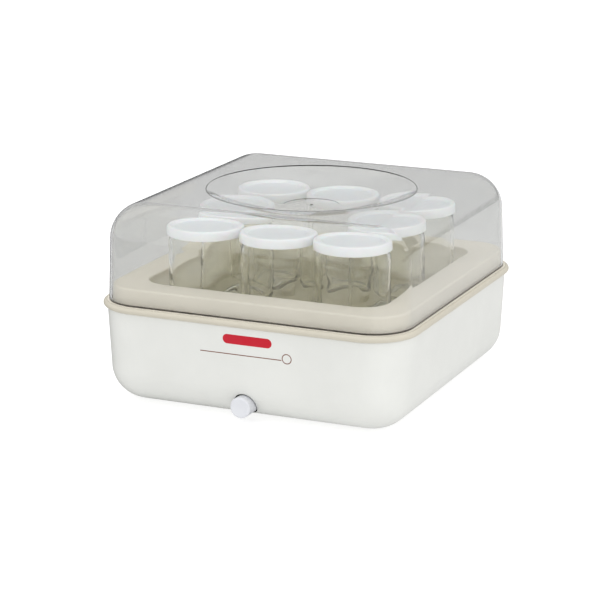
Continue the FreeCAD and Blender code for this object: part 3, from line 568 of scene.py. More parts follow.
def cap_plastic():
    """Flexible white cap plastic that lets a little light in; inside its rim, where the top is thinner,
    a painted shade makes it greyer.
    """
    shader = Shader("cap_white")
    mottle = shader.noise(80.0, 3.0, 0.5)
    # painted shade: the recess inside the rim gets the greyer colours below
    inside = shader.maths.ramp(shader.from_axis(), (24.4 * MM, 26.8 * MM), (1.0, 0.0))
    shader.feed(
        Base_Color=shader.blend(
            inside,
            shader.colours(mottle, (0.85, 0.87, 0.88), (0.88, 0.90, 0.91)),
            shader.colours(mottle, (0.77, 0.80, 0.82), (0.80, 0.83, 0.85)),
        ),
        Roughness=shader.spread(shader.noise(150.0, 3.0, 0.6), 0.26, 0.38),
        Normal=shader.bump(shader.noise(1400.0, 2.0, 0.6), 0.05, 0.0001),
    )
    shader.set(IOR=1.5, Subsurface_Weight=0.15, Subsurface_Scale=0.002)
    return shader.material


def rubber(name, colour):
    """Matte rubber with a fine speckle and a dusty sheen."""
    shader = Shader(name)
    dust = shader.noise(120.0, 4.0, 0.6)
    shader.feed(
        Base_Color=shader.colours(dust, shade(colour, 0.8), shade(colour, 1.35)),
        Roughness=shader.spread(dust, 0.72, 0.9),
        Normal=shader.bump(shader.noise(1500.0, 3.0, 0.7), 0.2, 0.0002),
    )
    return shader.material


def sheet_metal(name, colour, roughness, stretch=(1.0, 1.0, 1.0)):
    """Metal with fine drawn lines and slight tarnish."""
    shader = Shader(name)
    tarnish = shader.noise(70.0, 4.0, 0.6)
    lines = shader.noise(900.0, 2.0, 0.6, stretch)
    shader.feed(
        Base_Color=shader.colours(tarnish, shade(colour, 0.82), shade(colour, 1.05)),
        Roughness=shader.spread(lines, roughness * 0.75, roughness * 1.3),
        Normal=shader.bump(lines, 0.12, 0.0001),
    )
    shader.set(Metallic=1.0)
    return shader.material


def felt():
    """Needled felt: tangled fibres in two sizes with a soft sheen."""
    shader = Shader("felt")
    fibre = shader.noise(700.0, 5.0, 0.75, (1.0, 0.35, 1.0))
    shader.feed(
        Base_Color=shader.colours(fibre, (0.42, 0.39, 0.33), (0.66, 0.63, 0.56)),
        Normal=shader.bump(fibre, 0.8, 0.0008),
    )
    shader.set(Roughness=0.95, Sheen_Weight=0.3)
    return shader.material


def add_print(shader):
    """A printed mark on the front of the shell: a red bar above a thin brown line with a ring."""
    maths = shader.maths
    x, y, z = shader.axes()
    thin = maths.math("MAXIMUM", maths.stroke(x, z, *LINE), maths.hoop(x, z, *RING))
    front = maths.math("LESS_THAN", y, -0.1)
    shader.paint(front, (maths.stroke(x, z, *BAR), BAR_COLOUR), (thin, LINE_COLOUR))


def add_painted_well_light_and_shade(shader):
    """Painted light and shade in the well: its walls are painted paler than the tray's plastic outside,
    and its floor is darker with painted shade.
    """
    maths = shader.maths
    x, y, z = shader.axes()
    beyond = [
        maths.math("SUBTRACT", maths.math("ABSOLUTE", axis), half + 1.8 * MM)
        for axis, half in zip((x, y), WELL)
    ]
    inside = maths.math("LESS_THAN", maths.math("MAXIMUM", *beyond), 0.0)
    floor_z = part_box("jar_front_left")[0].z
    wall = maths.ramp(z, (TRAY_HIGH.z - 9 * MM, TRAY_HIGH.z - 2 * MM), (1.0, 0.0))
    floor = maths.ramp(z, (floor_z + 2 * MM, floor_z + WELL_SHADE), (1.0, 0.0))
    # painted light on the walls, then painted shade over it near the floor
    shader.paint(inside, (wall, WELL_WALL_PAINTED_LIGHT), (floor, WELL_FLOOR_PAINTED_SHADE))


def make_materials():
    """Every material by its slot name."""
    return {
        "shell_white": moulded_plastic("shell_white", SHELL_COLOUR, 0.34, 0.012, 0.03, extra=add_print),
        "cover_grey": moulded_plastic("cover_grey", (0.36, 0.36, 0.35), 0.62, 0.35, 0.05),
        # tray and bead: lit and shaded copies of one beige plastic, painted light and painted shade
        "tray_beige": moulded_plastic("tray_beige", TRAY_LIT_COLOUR, 0.42, 0.012, 0.03, extra=add_painted_well_light_and_shade),
        "bead_beige": moulded_plastic("bead_beige", BEAD_SHADED_COLOUR, 0.38, 0.012, 0.03),
        "lid_smoke": smoky_plastic(),
        "lid_edge": edge_and_gap_painted_shade(),
        "button_white": moulded_plastic("button_white", (0.60, 0.61, 0.64), 0.32, 0.02, 0.03),
        "jar_glass": jar_glass(),
        "cap_white": cap_plastic(),
        "foot_rubber": rubber("foot_rubber", (0.10, 0.10, 0.10)),
        "black_rubber": rubber("black_rubber", (0.03, 0.03, 0.03)),
        "zinc_steel": sheet_metal("zinc_steel", (0.55, 0.56, 0.58), 0.32),
        "aluminium_sheet": sheet_metal("aluminium_sheet", (0.80, 0.81, 0.82), 0.28, (0.06, 1.0, 1.0)),
        "brass": sheet_metal("brass", (0.72, 0.52, 0.22), 0.3),
        "inner_white_plastic": moulded_plastic("inner_white_plastic", (0.70, 0.70, 0.66), 0.5, 0.2),
        "black_plastic": moulded_plastic("black_plastic", (0.03, 0.03, 0.032), 0.45, 0.2),
        "red_silicone": rubber("red_silicone", (0.42, 0.05, 0.03)),
        "crimp_plastic": moulded_plastic("crimp_plastic", (0.55, 0.48, 0.28), 0.45, 0.15),
        "fuse_sleeve": moulded_plastic("fuse_sleeve", (0.62, 0.56, 0.36), 0.7, 0.5),
        "felt": felt(),
        "brown_insulation": moulded_plastic("brown_insulation", (0.11, 0.045, 0.02), 0.4, 0.1),
        "white_insulation": moulded_plastic("white_insulation", (0.70, 0.69, 0.65), 0.5, 0.1),
        "blue_insulation": moulded_plastic("blue_insulation", (0.02, 0.07, 0.30), 0.4, 0.1),
    }


# ---- outer shell --------------------------------------------------------------------------------

def wall_arc(top_z, low_z, lean, radius):
    """Profile (inset, z) of a leaning wall from top_z that rounds into a floor at low_z."""
    lean_angle = atan(lean)
    centre_z = low_z + radius
    centre = radius * sqrt(1 + lean**2) + lean * (top_z - centre_z)
    points = [(0.0, top_z)]
    tangent_inset = centre - radius * cos(lean_angle)
    tangent_z = centre_z - radius * sin(lean_angle)
    for share in (0.02, 0.25, 0.5, 0.75, 0.98):
        points.append((tangent_inset * share, top_z + (tangent_z - top_z) * share))
    for step in range(ROUND_STEPS + 1):
        angle = -lean_angle + (-pi / 2 + lean_angle) * step / ROUND_STEPS
        points.append((centre - radius * cos(angle), centre_z + radius * sin(angle)))
    return points


def shell_mesh():
    """The shell with its rim, bellied edge and the opening in its floor, without the holes of the
    button and the cord.
    """
    outline = Outline(SHELL_HIGH.x, SHELL_HIGH.y, SHELL_CORNER)
    height = SHELL_HIGH.z - SHELL_LOW.z
    lean = SHELL_TAPER / height
    outside = wall_arc(SHELL_HIGH.z, SHELL_LOW.z, lean, SHELL_BELLY)
    inside = wall_arc(SHELL_HIGH.z, SHELL_LOW.z + SHELL_WALL, lean, SHELL_BELLY - SHELL_WALL)
    pocket = Outline(*SHELL_POCKET)
    opening = Outline(*SHELL_OPENING)
    pocket_z = SHELL_LOW.z + POCKET_DEPTH
    ledge_z = SHELL_LOW.z + LEDGE_TOP
    rings = [outline.ring(inset, z) for inset, z in outside]
    rings += [pocket.ring(0, z) for z in (SHELL_LOW.z, pocket_z)]
    rings += [opening.ring(2.0 * MM, z) for z in (pocket_z, ledge_z)]
    rings.append(opening.ring(-10.0 * MM, ledge_z))
    rings.append(opening.ring(-10.6 * MM, SHELL_LOW.z + SHELL_WALL))
    rings += [outline.ring(inset + SHELL_WALL, z) for inset, z in reversed(inside)]
    return mesh_from_rings("outer_shell_skin", rings, closed=True)


def cutter(name, radius, centre, length):
    """A round cutter along Y."""
    profile = [(0.0, 0.0), (radius, 0.0), (radius, length), (0.0, length)]
    holder = bpy.data.objects.new(name, lathe(name, profile, 96))
    holder.matrix_world = Matrix.Translation(centre) @ Matrix.Rotation(-pi / 2, 4, "X")
    bpy.context.scene.collection.objects.link(holder)
    holder.hide_render = True
    return holder


def shell_with_holes():
    """The shell's mesh after cutting its two holes and easing their edges."""
    button_low, button_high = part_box("power_button")
    gland_low, gland_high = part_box("cord_gland")
    button_z = (button_low.z + button_high.z) / 2
    gland = ((gland_low.x + gland_high.x) / 2, 0.12, (gland_low.z + gland_high.z) / 2)

    def set_up(holder):
        cutters = [
            cutter("button_cut", BUTTON_HOLE, (0, -0.150, button_z), 0.043),
            cutter("gland_cut", GLAND_HOLE, gland, 0.03),
        ]
        for tool in cutters:
            cut = holder.modifiers.new(tool.name, "BOOLEAN")
            cut.object = tool
            cut.solver = "EXACT"
        ease = holder.modifiers.new("ease", "BEVEL")
        ease.width = 0.45 * MM
        ease.segments = 3
        ease.limit_method = "ANGLE"
        ease.angle_limit = radians(50)
        ease.harden_normals = False
        return cutters

    return finish_mesh(with_modifiers(shell_mesh(), set_up), 40.0)


# ---- tray ---------------------------------------------------------------------------------------

def bead_mesh():
    """The rolled bead over the shell's rim."""
    bead = Outline(TRAY_HIGH.x, TRAY_HIGH.y, BEAD_CORNER)
    seat_z = SHELL_HIGH.z
    rings = [bead.ring(BEAD_JOINT, seat_z)]
    for across, z in arc((0, (seat_z + FLANGE_Z) / 2), BEAD_ROUND, -90, 90, 14):
        rings.append(bead.ring(BEAD_ROUND - across, z))
    rings.append(bead.ring(BEAD_JOINT, FLANGE_Z))
    return mesh_from_rings("tray_bead", rings, closed=True)


def tray_mesh():
    """Flange, collar, deck and well, with the wall's underside."""
    bead = Outline(TRAY_HIGH.x, TRAY_HIGH.y, BEAD_CORNER)
    shell = Outline(SHELL_HIGH.x, SHELL_HIGH.y, SHELL_CORNER)
    collar = Outline(*COLLAR)
    well = Outline(*WELL)
    seat_z = SHELL_HIGH.z
    deck_z = TRAY_HIGH.z
    floor_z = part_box("jar_front_left")[0].z
    under_z = floor_z - TRAY_WALL
    rings = [shell.ring(5.2 * MM, seat_z - 8 * MM), shell.ring(3.6 * MM, seat_z - 8 * MM)]
    rings += [shell.ring(3.2 * MM, seat_z - 7 * MM), shell.ring(3.0 * MM, seat_z)]
    rings += [bead.ring(BEAD_JOINT + 0.02 * MM, z) for z in (seat_z, FLANGE_Z)]
    rings.append(collar.ring(-1.2 * MM, FLANGE_Z))
    for across, z in arc((1.0 * MM, FLANGE_Z + 1.0 * MM), 1.0 * MM, -90, -180, 5):
        rings.append(collar.ring(-across, z))
    rise = deck_z - COLLAR_ROUND
    rings.append(collar.ring(0.02 * MM, FLANGE_Z + 1.6 * MM))
    rings.append(collar.ring(COLLAR_TAPER, rise - 0.4 * MM))
    for across, z in arc((0, rise), COLLAR_ROUND, 0, 90, 10):
        rings.append(collar.ring(COLLAR_TAPER + COLLAR_ROUND - across, z))
    rings.append(collar.ring(COLLAR_TAPER + COLLAR_ROUND + 0.5 * MM, deck_z))
    rings.append(well.ring(-WELL_EDGE - 0.5 * MM, deck_z))
    for across, z in arc((0, deck_z - WELL_EDGE), WELL_EDGE, 90, 180, 7):
        rings.append(well.ring(-WELL_EDGE - across, z))
    rings.append(well.ring(0.1 * MM, deck_z - WELL_EDGE - 1.0 * MM))
    rings.append(well.ring(WELL_TAPER * 0.9, floor_z + WELL_ROUND + 1.0 * MM))
    for across, z in arc((0, floor_z + WELL_ROUND), WELL_ROUND, 0, -90, 8):
        rings.append(well.ring(WELL_TAPER + WELL_ROUND - across, z))
    rings.append(well.ring(WELL_TAPER + WELL_ROUND + 0.6 * MM, floor_z))
    for inset in (30, 60, 90, 100):
        rings.append(well.ring(inset * MM, floor_z))
    for inset in (100, 60, 8):
        rings.append(well.ring(inset * MM, under_z))
    for across, z in arc((0, floor_z + WELL_ROUND), WELL_ROUND + TRAY_WALL, -90, 0, 6):
        rings.append(well.ring(WELL_TAPER + WELL_ROUND - across, z))
    rings.append(well.ring(-TRAY_WALL, deck_z - TRAY_WALL))
    rings.append(collar.ring(COLLAR_TAPER + TRAY_WALL, deck_z - TRAY_WALL))
    rings.append(collar.ring(TRAY_WALL, FLANGE_Z - 1.0 * MM))
    rings.append(shell.ring(5.4 * MM, seat_z))
    return mesh_from_rings("tray_moulding", rings, closed=True)


def post_mesh():
    """Low round post with a domed top, between four jars."""
    profile = [(0.0, -1.0 * MM), (6.0 * MM, -1.0 * MM), (5.9 * MM, 0.3 * MM), (5.2 * MM, 3.6 * MM)]
    profile += arc((3.7 * MM, 3.5 * MM), 1.5 * MM, 0, 90, 6)
    profile += [(2.0 * MM, 5.15 * MM), (0.0, 5.2 * MM)]
    return lathe("well_post", profile, 48)


def centre_pad_mesh():
    """Low round platform in the empty middle of the well."""
    profile = [(0.0, -1.0 * MM), (20.0 * MM, -1.0 * MM), (19.4 * MM, 0.6 * MM)]
    profile += arc((18.2 * MM, 0.6 * MM), 1.0 * MM, 0, 90, 6)
    profile += [(14.0 * MM, 1.6 * MM), (13.4 * MM, 1.2 * MM), (12.0 * MM, 1.2 * MM), (0.0, 1.2 * MM)]
    return lathe("well_centre_pad", profile, 96)


def build_tray(materials):
    """The tray and the small features on its floor."""
    material = materials["tray_beige"]
    add_piece("tray_moulding", tray_mesh(), "base", material, ["jar_tray"])
    add_piece("tray_bead", bead_mesh(), "base", materials["bead_beige"])
    floor_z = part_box("jar_front_left")[0].z
    post = post_mesh()
    for side_x in (-1, 1):
        for side_y in (-1, 1):
            place = (side_x * POST_X, side_y * POST_Y, floor_z)
            name = f"well_post_{side_x + 2}{side_y + 2}"
            add_piece(name, post, "base", material, place=place)
    add_piece(
        "well_centre_pad", centre_pad_mesh(), "base", material, place=(0, 0, floor_z)
    )


# ---- lid ----------------------------------------------------------------------------------------

def lid_skin(outline, top_z, edge_z, lean, offset, radius, rim, depth, flat):
    """Rings of one face of the lid, from its edge up over the rounding and down into the dish."""
    profile = wall_arc(edge_z, 2 * edge_z - top_z, lean, radius)
    rings = [outline.ring(inset + offset, 2 * edge_z - z) for inset, z in profile]
    last = profile[-1][0] + offset
    rings.append(outline.ring(last + 0.5 * MM, top_z))
    rings.append(outline.circle(rim + 1.4 * MM, top_z))
    run = rim - flat
    bowl = (run**2 + depth**2) / (2 * depth)
    slope = run / bowl
    ease = DISH_RIM * slope
    for share in (0.0, 0.33, 0.67, 1.0):
        drop = ease * share**2 * 0.5
        rings.append(outline.circle(rim + ease * (1 - share), top_z - drop))
    for step in range(1, 25):
        reach = rim - run * step / 24
        z = top_z - depth + bowl - sqrt(bowl**2 - (reach - flat) ** 2)
        rings.append(outline.circle(reach, min(z, top_z - ease * 0.5)))
    return rings


def lid_mesh():
    """The clear lid: outer face, inner face and the edge between them, as one solid."""
    lean = LID_TAPER / (LID_HIGH.z - LID_LOW.z)
    edge = LID_LOW.z + LID_EDGE_BAND + 0.02 * MM
    inset = lean * (edge - LID_LOW.z)
    outline = Outline(LID_HIGH.x - inset, LID_HIGH.y - inset, LID_CORNER - inset)
    outer = lid_skin(
        outline, LID_HIGH.z, edge, lean, 0.0, LID_ROUND, DISH_RADIUS, DISH_DEPTH, DISH_FLAT,
    )
    inner_top = LID_HIGH.z - LID_WALL
    inner = lid_skin(
        outline, inner_top, edge, lean, LID_WALL, LID_ROUND - LID_WALL,
        DISH_RADIUS + 0.4 * MM, DISH_DEPTH, DISH_FLAT,
    )
    floor_z = LID_HIGH.z - DISH_DEPTH
    step = 0.25 * MM
    outer.append(outline.circle(DISH_FLAT - 0.05 * MM, floor_z - step))
    for radius in (0.9, 0.5, 0.1):
        outer.append(outline.circle(DISH_FLAT * radius, floor_z - step))
    outer.append(outline.circle(1.5 * MM, floor_z - step))
    outer.append(outline.circle(1.1 * MM, floor_z + 0.1 * MM))
    outer.append(outline.circle(0.3 * MM, floor_z + 0.2 * MM))
    inner_floor = inner_top - DISH_DEPTH
    for radius in (0.9, 0.5, 0.1, 0.02):
        inner.append(outline.circle(DISH_FLAT * radius, inner_floor))
    rings = list(reversed(inner)) + [outline.ring(LID_WALL * 0.5, edge)] + outer
    return mesh_from_rings("lid_shell", rings, caps=True, sharp=12.0)


def lid_edge_mesh():
    """The lid's lower edge, where the plastic is cut and looks dark; its dark band is partly painted
    shade for the gap under the lid.
    """
    outline = Outline(LID_HIGH.x, LID_HIGH.y, LID_CORNER)
    low = LID_LOW.z
    high = low + LID_EDGE_BAND
    ease = 0.25 * MM
    rings = [outline.ring(ease, low), outline.ring(0.03 * MM, low + ease)]
    rings += [outline.ring(0.05 * MM, high), outline.ring(LID_WALL, high)]
    rings += [outline.ring(LID_WALL, low + ease), outline.ring(LID_WALL - ease, low)]
    return mesh_from_rings("lid_edge_band", rings, closed=True)


# ---- jars and caps ------------------------------------------------------------------------------

def jar_mesh():
    """Glass pot about its own axis, with its foot at height 0."""
    low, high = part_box("jar_front_left")
    radius = (high.x - low.x) / 2
    height = high.z - low.z
    neck = radius - 2.3 * MM
    neck_z = height - JAR_NECK_DROP
    shoulder_z = neck_z - JAR_SHOULDER
    lip = radius - 0.8 * MM
    inner = radius - JAR_WALL
    profile = [(0.0, 1.5 * MM), (9.0 * MM, 1.35 * MM), (17.0 * MM, 0.9 * MM), (20.0 * MM, 0.35 * MM)]
    profile += [(21.6 * MM, 0.05 * MM), (22.6 * MM, 0.0)]
    profile += arc((radius - JAR_HEEL, JAR_HEEL), JAR_HEEL, -88, 0, 10)
    profile += [(radius, JAR_HEEL + (shoulder_z - JAR_HEEL) * share) for share in (0.03, 0.5, 0.97)]
    profile += shoulder(radius, shoulder_z, neck, neck_z)
    profile += [(neck, height - 3.8 * MM), (neck + 0.4 * MM, height - 3.3 * MM)]
    profile += arc((lip - 1.2 * MM, height - 2.0 * MM), 1.2 * MM, -45, 0, 4)
    profile += arc((lip - 1.2 * MM, height - 1.2 * MM), 1.2 * MM, 0, 90, 5)
    profile += arc((neck - JAR_WALL + 1.0 * MM, height - 1.0 * MM), 1.0 * MM, 90, 180, 5)
    profile += reversed(shoulder(inner, shoulder_z, neck - JAR_WALL, neck_z))
    inner_heel = 4.4 * MM
    wall_low = JAR_FLOOR + inner_heel + 1 * MM
    wall_high = shoulder_z - 1 * MM
    profile += [(inner, wall_high - (wall_high - wall_low) * step / 24) for step in range(25)]
    profile += arc((inner - inner_heel, JAR_FLOOR + inner_heel), inner_heel, 0, -88, 8)
    profile += [(14.0 * MM, JAR_FLOOR - 0.05 * MM), (6.0 * MM, JAR_FLOOR + 0.15 * MM)]
    profile.append((0.0, JAR_FLOOR + 0.2 * MM))
    mesh = lathe("jar_glass_body", profile)
    for vert in mesh.vertices:
        away = sqrt(vert.co.x**2 + vert.co.y**2)
        if abs(away - inner) < 0.01 * MM and wall_low < vert.co.z < shoulder_z:
            vert.co.xy *= 1 + glass_wave(atan2(vert.co.y, vert.co.x), vert.co.z / MM) / away
    mesh.update()
    return mesh


def glass_wave(angle, z):
    """How far the inner wall of a pressed glass pot strays from a true cylinder."""
    long = sin(3 * angle + 0.11 * z + 0.8) * cos(0.17 * z)
    short = sin(7 * angle - 0.23 * z) * sin(0.31 * z + 2 * angle)
    return (0.20 * long + 0.03 * short) * MM


def shoulder(low_radius, low_z, high_radius, high_z, steps=9):
    """Points of a shoulder that leaves the body upright and curves in to the neck."""
    rise = high_z - low_z
    step_in = low_radius - high_radius
    curve = (rise**2 + step_in**2) / (2 * step_in)
    points = []
    for step in range(steps + 1):
        up = rise * step / steps
        points.append((low_radius - curve + sqrt(curve**2 - up**2), low_z + up))
    return points


def cap_mesh():
    """Push-fit cap about its own axis, with the skirt's lower edge at height 0."""
    low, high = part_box("cap_front_left")
    radius = (high.x - low.x) / 2
    crown = high.z - low.z + CAP_RISE
    top = crown - CAP_RISE - CAP_RIM
    inner = radius - CAP_WALL
    under = top - CAP_TOP
    profile = [(0.0, under), (inner - 1.2 * MM, under)]
    profile += arc((inner - 1.0 * MM, under - 1.0 * MM), 1.0 * MM, 90, 0, 4)
    profile += [(inner, 1.7 * MM), (inner - 0.12 * MM, 1.3 * MM), (inner - 0.12 * MM, 0.9 * MM)]
    foot = -CAP_DROP
    profile += [(inner + 0.1 * MM, foot + 0.4 * MM), (inner + 0.4 * MM, foot)]
    profile.append((radius - 0.6 * MM, foot))
    profile += arc((radius - 0.6 * MM, foot + 0.6 * MM), 0.6 * MM, -90, 0, 5)
    profile += [(radius - 0.05 * MM, 2.0 * MM), (radius - 0.12 * MM, crown - 1.9 * MM)]
    profile += arc((radius - 2.15 * MM, crown - 2.0 * MM), 2.0 * MM, 5, 90, 9)
    profile += [(radius - 3.2 * MM, crown - 0.06 * MM), (radius - 4.2 * MM, crown - 0.35 * MM)]
    profile += [(radius - 5.0 * MM, crown - 0.9 * MM), (radius - 5.6 * MM, crown - 1.6 * MM)]
    profile += [(radius - 6.1 * MM, top + 0.05 * MM), (radius - 6.7 * MM, top)]
    profile += [(12.0 * MM, top - 0.1 * MM), (0.0, top - 0.12 * MM)]
    return lathe("cap_body", profile)


def build_jars(materials):
    """Eight jars and their caps, each on its own body."""
    glass = jar_mesh()
    cap = cap_mesh()
    for index, name in enumerate(JAR_NAMES):
        jar_low, jar_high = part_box("jar_" + name)
        cap_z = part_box("cap_" + name)[0].z
        x = (jar_low.x + jar_high.x) / 2
        y = (jar_low.y + jar_high.y) / 2
        add_piece(
            "glass_" + name, glass, "jar_" + name, materials["jar_glass"],
            ["jar_" + name], (x, y, jar_low.z), JAR_TURN * index,
        )
        add_piece(
            "cap_skin_" + name, cap, "cap_" + name, materials["cap_white"],
            ["cap_" + name], (x, y, cap_z),
        )


# ---- button and its spring ----------------------------------------------------------------------

def button_mesh():
    """Push button along +Y from its front face: dished face, rounded edge, collar and stem."""
    low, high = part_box("power_button")
    radius = (high.x - low.x) / 2
    length = BUTTON_LENGTH
    stem = STEM_RADIUS
    end = high.y - low.y
    edge = BUTTON_EDGE
    profile = [(0.0, 0.5 * MM), (3.0 * MM, 0.45 * MM), (5.2 * MM, 0.25 * MM)]
    profile += [(radius - edge - 0.4 * MM, 0.02 * MM)]
    profile += arc((radius - edge, edge), edge, -90, 0, 8)
    profile += [(radius, edge + 0.3 * MM), (radius, length - 0.5 * MM), (radius - 0.4 * MM, length)]
    profile += [(stem + 0.3 * MM, length), (stem, length + 0.3 * MM), (stem, end - 0.4 * MM)]
    profile += [(stem - 0.4 * MM, end), (0.0, end)]
    mesh = lathe("button_body", profile, 96)
    mesh.transform(Matrix.Rotation(-pi / 2, 4, "X"))
    return mesh


def spring_mesh(length):
    """Round wire wound about +Y, from height 0 to its free length."""
    wire = SPRING_WIRE
    run = length - 2 * wire
    turns = Matrix.Rotation(-pi / 2, 4, "X")
    rings = []
    steps = SPRING_TURNS * 40
    for step in range(steps + 1):
        angle = 2 * pi * SPRING_TURNS * step / steps
        out = Vector((cos(angle), sin(angle), 0))
        centre = out * SPRING_RADIUS + Vector((0, 0, wire + run * step / steps))
        rings.append([
            turns @ (centre + (out * cos(turn) + Vector((0, 0, 1)) * sin(turn)) * wire)
            for turn in (2 * pi * side / 12 for side in range(12))
        ])
    return mesh_from_rings("spring_wire", rings, caps=True)


def build_spring(materials):
    """Return spring of the button, with a mesh of its own."""
    low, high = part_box("button_spring")
    length = high.y - low.y
    spring = add_piece(
        "return_spring", spring_mesh(length), "base", materials["zinc_steel"],
        ["button_spring"], (0, low.y, (low.z + high.z) / 2),
    )
    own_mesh(spring)


def build_button(materials):
    """The push button at the front."""
    low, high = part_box("power_button")
    add_piece(
        "push_button", button_mesh(), "button", materials["button_white"],
        ["power_button"], (0, low.y, (low.z + high.z) / 2),
    )


# ---- nodes that keep their CAD shape ------------------------------------------------------------

def finish_cad_nodes(materials):
    """Give each shown CAD node the material of its record slot."""
    slots = {entry["node"]: entry["material_slot"] for entry in frame["record"]["subparts"]}
    for name, node in frame["nodes"].items():
        if node.hide_render:
            continue
        for slot in node.material_slots:
            slot.material = materials[slots[name]]


# ---- stage --------------------------------------------------------------------------------------

def add_floor():
    """Wide pale floor that glows a little, so that shadows on it stay faint; clear from below."""
    bpy.ops.mesh.primitive_plane_add(size=30.0, location=(0, 0, -0.0002))
    floor = bpy.context.object
    floor.name = "studio_floor"
    shader = Shader("studio_floor")
    shader.set(Base_Color=(0.45, 0.45, 0.45, 1), Roughness=1.0, Specular_IOR_Level=0.0)
    shader.set(Emission_Color=(1.0, 1.0, 1.0, 1), Emission_Strength=0.66)
    x, y, _ = shader.axes()
    maths = shader.maths
    azimuth = radians(CAMERA_AZIMUTH)
    along_x = maths.math("MULTIPLY", x, cos(azimuth))
    along_y = maths.math("MULTIPLY", y, sin(azimuth))
    right = maths.math("ADD", along_x, along_y)
    mirrored = shader.node("ShaderNodeEmission", Color=(1.0, 1.0, 1.0, 1))
    shader.link(maths.ramp(right, (-0.1, 0.1), MIRRORED_FLOOR), mirrored.inputs["Strength"])
    rays = shader.node("ShaderNodeLightPath").outputs
    plain = shader.surface.outputs["BSDF"]
    gloss = shader.choose(rays["Is Glossy Ray"], plain, mirrored.outputs["Emission"])
    above = shader.choose(rays["Is Transmission Ray"], gloss, plain)
    below = shader.node("ShaderNodeBsdfTransparent").outputs["BSDF"]
    side = shader.node("ShaderNodeNewGeometry").outputs["Backfacing"]
    shader.link(shader.choose(side, above, below), shader.output.inputs["Surface"])
    floor.data.materials.append(shader.material)


def add_world():
    """White studio all round, with a backdrop that is darker in mirror images near the floor."""
    world = bpy.data.worlds.new("studio")
    bpy.context.scene.world = world
    world.use_nodes = True
    tree = world.node_tree
    tree.nodes.clear()
    nodes = MathNodes(tree)
    direction = tree.nodes.new("ShaderNodeTexCoord")
    split = tree.nodes.new("ShaderNodeSeparateXYZ")
    tree.links.new(direction.outputs["Generated"], split.inputs[0])
    elevation = nodes.math("ARCSINE", split.outputs["Z"])
    rays = tree.nodes.new("ShaderNodeLightPath").outputs
    low = nodes.ramp(split.outputs["Y"], (-0.1, 0.6), (FRONT_LEVEL, BACK_LEVEL))
    behind = nodes.ramp(split.outputs["Y"], (0.0, 0.5), (0.0, 1.0))
    dusk = nodes.ramp(elevation, (radians(3), radians(9)), (1.0 - HORIZON_LEVEL, 0.0))
    dusk = nodes.math("MULTIPLY", nodes.math("MULTIPLY", behind, dusk), rays["Is Glossy Ray"])
    low = nodes.math("MULTIPLY", low, nodes.math("SUBTRACT", 1.0, dusk))
    high = nodes.ramp(elevation, (radians(30), radians(50)), (0.0, 1.0))
    rise = nodes.math("MULTIPLY", high, nodes.math("SUBTRACT", TOP_LEVEL, low))
    level = nodes.math("ADD", low, rise)
    passed = nodes.math("MULTIPLY", rays["Is Transmission Ray"], SEEN_THROUGH)
    seen = nodes.math("MAXIMUM", rays["Is Camera Ray"], passed)
    level = nodes.math("ADD", level, nodes.math("MULTIPLY", seen, nodes.math("SUBTRACT", 1.0, level)))
    background = tree.nodes.new("ShaderNodeBackground")
    background.inputs["Color"].default_value = (1.0, 1.0, 1.0, 1)
    tree.links.new(level, background.inputs["Strength"])
    output = tree.nodes.new("ShaderNodeOutputWorld")
    tree.links.new(background.outputs[0], output.inputs[0])


def add_lamp(name, place, aim, size, power):
    """Square soft lamp that faces a point."""
    data = bpy.data.lights.new(name, "AREA")
    data.shape = "RECTANGLE"
    data.size, data.size_y = size
    data.energy = power
    lamp = bpy.data.objects.new(name, data)
    bpy.context.scene.collection.objects.link(lamp)
    lamp.location = place
    lamp.rotation_euler = (Vector(aim) - Vector(place)).to_track_quat("-Z", "Y").to_euler()
    lamp.visible_camera = False
    lamp.visible_glossy = False
    lamp.visible_transmission = False


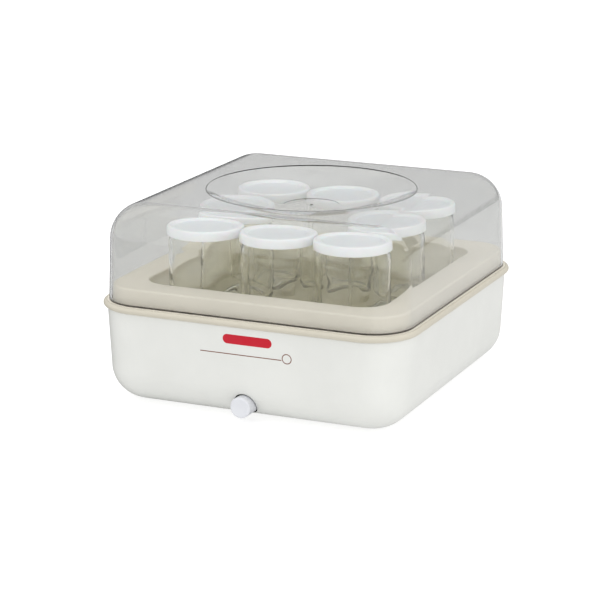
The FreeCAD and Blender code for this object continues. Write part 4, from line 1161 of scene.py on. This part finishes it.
def add_lamps():
    """Large soft panels overhead, at the front and at the right, none of them mirrored."""
    add_lamp("overhead_panel", (-0.2, 0.0, 1.9), (0, 0, 0.05), (1.8, 1.4), OVERHEAD_POWER)
    add_lamp("front_panel", (0.1, -1.9, 0.75), (0, 0, 0.1), (1.6, 1.0), FRONT_POWER)
    add_lamp("side_panel", (1.9, 0.1, 0.75), (0, 0, 0.1), (1.4, 1.0), SIDE_POWER)


def add_camera():
    """Camera at the photograph's viewing angle."""
    azimuth = radians(CAMERA_AZIMUTH)
    elevation = radians(CAMERA_ELEVATION)
    back = Vector((sin(azimuth) * cos(elevation), -cos(azimuth) * cos(elevation), sin(elevation)))
    right = Vector((cos(azimuth), sin(azimuth), 0))
    up = back.cross(right)
    aim = right * CAMERA_AIM_RIGHT + Vector((0, 0, CAMERA_AIM_HEIGHT))
    data = bpy.data.cameras.new("camera")
    data.lens = CAMERA_LENS
    data.sensor_width = 36.0
    camera = bpy.data.objects.new("camera", data)
    bpy.context.scene.collection.objects.link(camera)
    turn = Matrix((right, up, back)).transposed().to_4x4()
    roll = Matrix.Rotation(radians(CAMERA_ROLL), 4, "Z")
    camera.matrix_world = Matrix.Translation(aim + back * CAMERA_DISTANCE) @ turn @ roll
    bpy.context.scene.camera = camera


def set_up_rendering():
    """Plain colour management and enough bounces for clear walls behind clear walls."""
    scene = bpy.context.scene
    scene.view_settings.view_transform = "Standard"
    scene.view_settings.look = "None"
    scene.cycles.max_bounces = 24
    scene.cycles.transmission_bounces = 24
    scene.cycles.transparent_max_bounces = 32
    scene.cycles.glossy_bounces = 8
    scene.cycles.diffuse_bounces = 5
    scene.cycles.caustics_reflective = False
    scene.cycles.caustics_refractive = False
    scene.cycles.use_denoising = True


# ---- the whole scene ----------------------------------------------------------------------------

def main():
    """Build every piece, then the stage, lamps and camera."""
    materials = make_materials()
    add_piece(
        "outer_shell_skin", shell_with_holes(), "base", materials["shell_white"],
        ["outer_shell"],
    )
    build_tray(materials)
    add_piece("lid_shell", lid_mesh(), "lid", materials["lid_smoke"], ["lid"])
    add_piece("lid_edge_band", lid_edge_mesh(), "lid", materials["lid_edge"])
    build_jars(materials)
    build_button(materials)
    build_spring(materials)
    finish_cad_nodes(materials)
    add_floor()
    add_world()
    add_lamps()
    add_camera()
    set_up_rendering()


main()
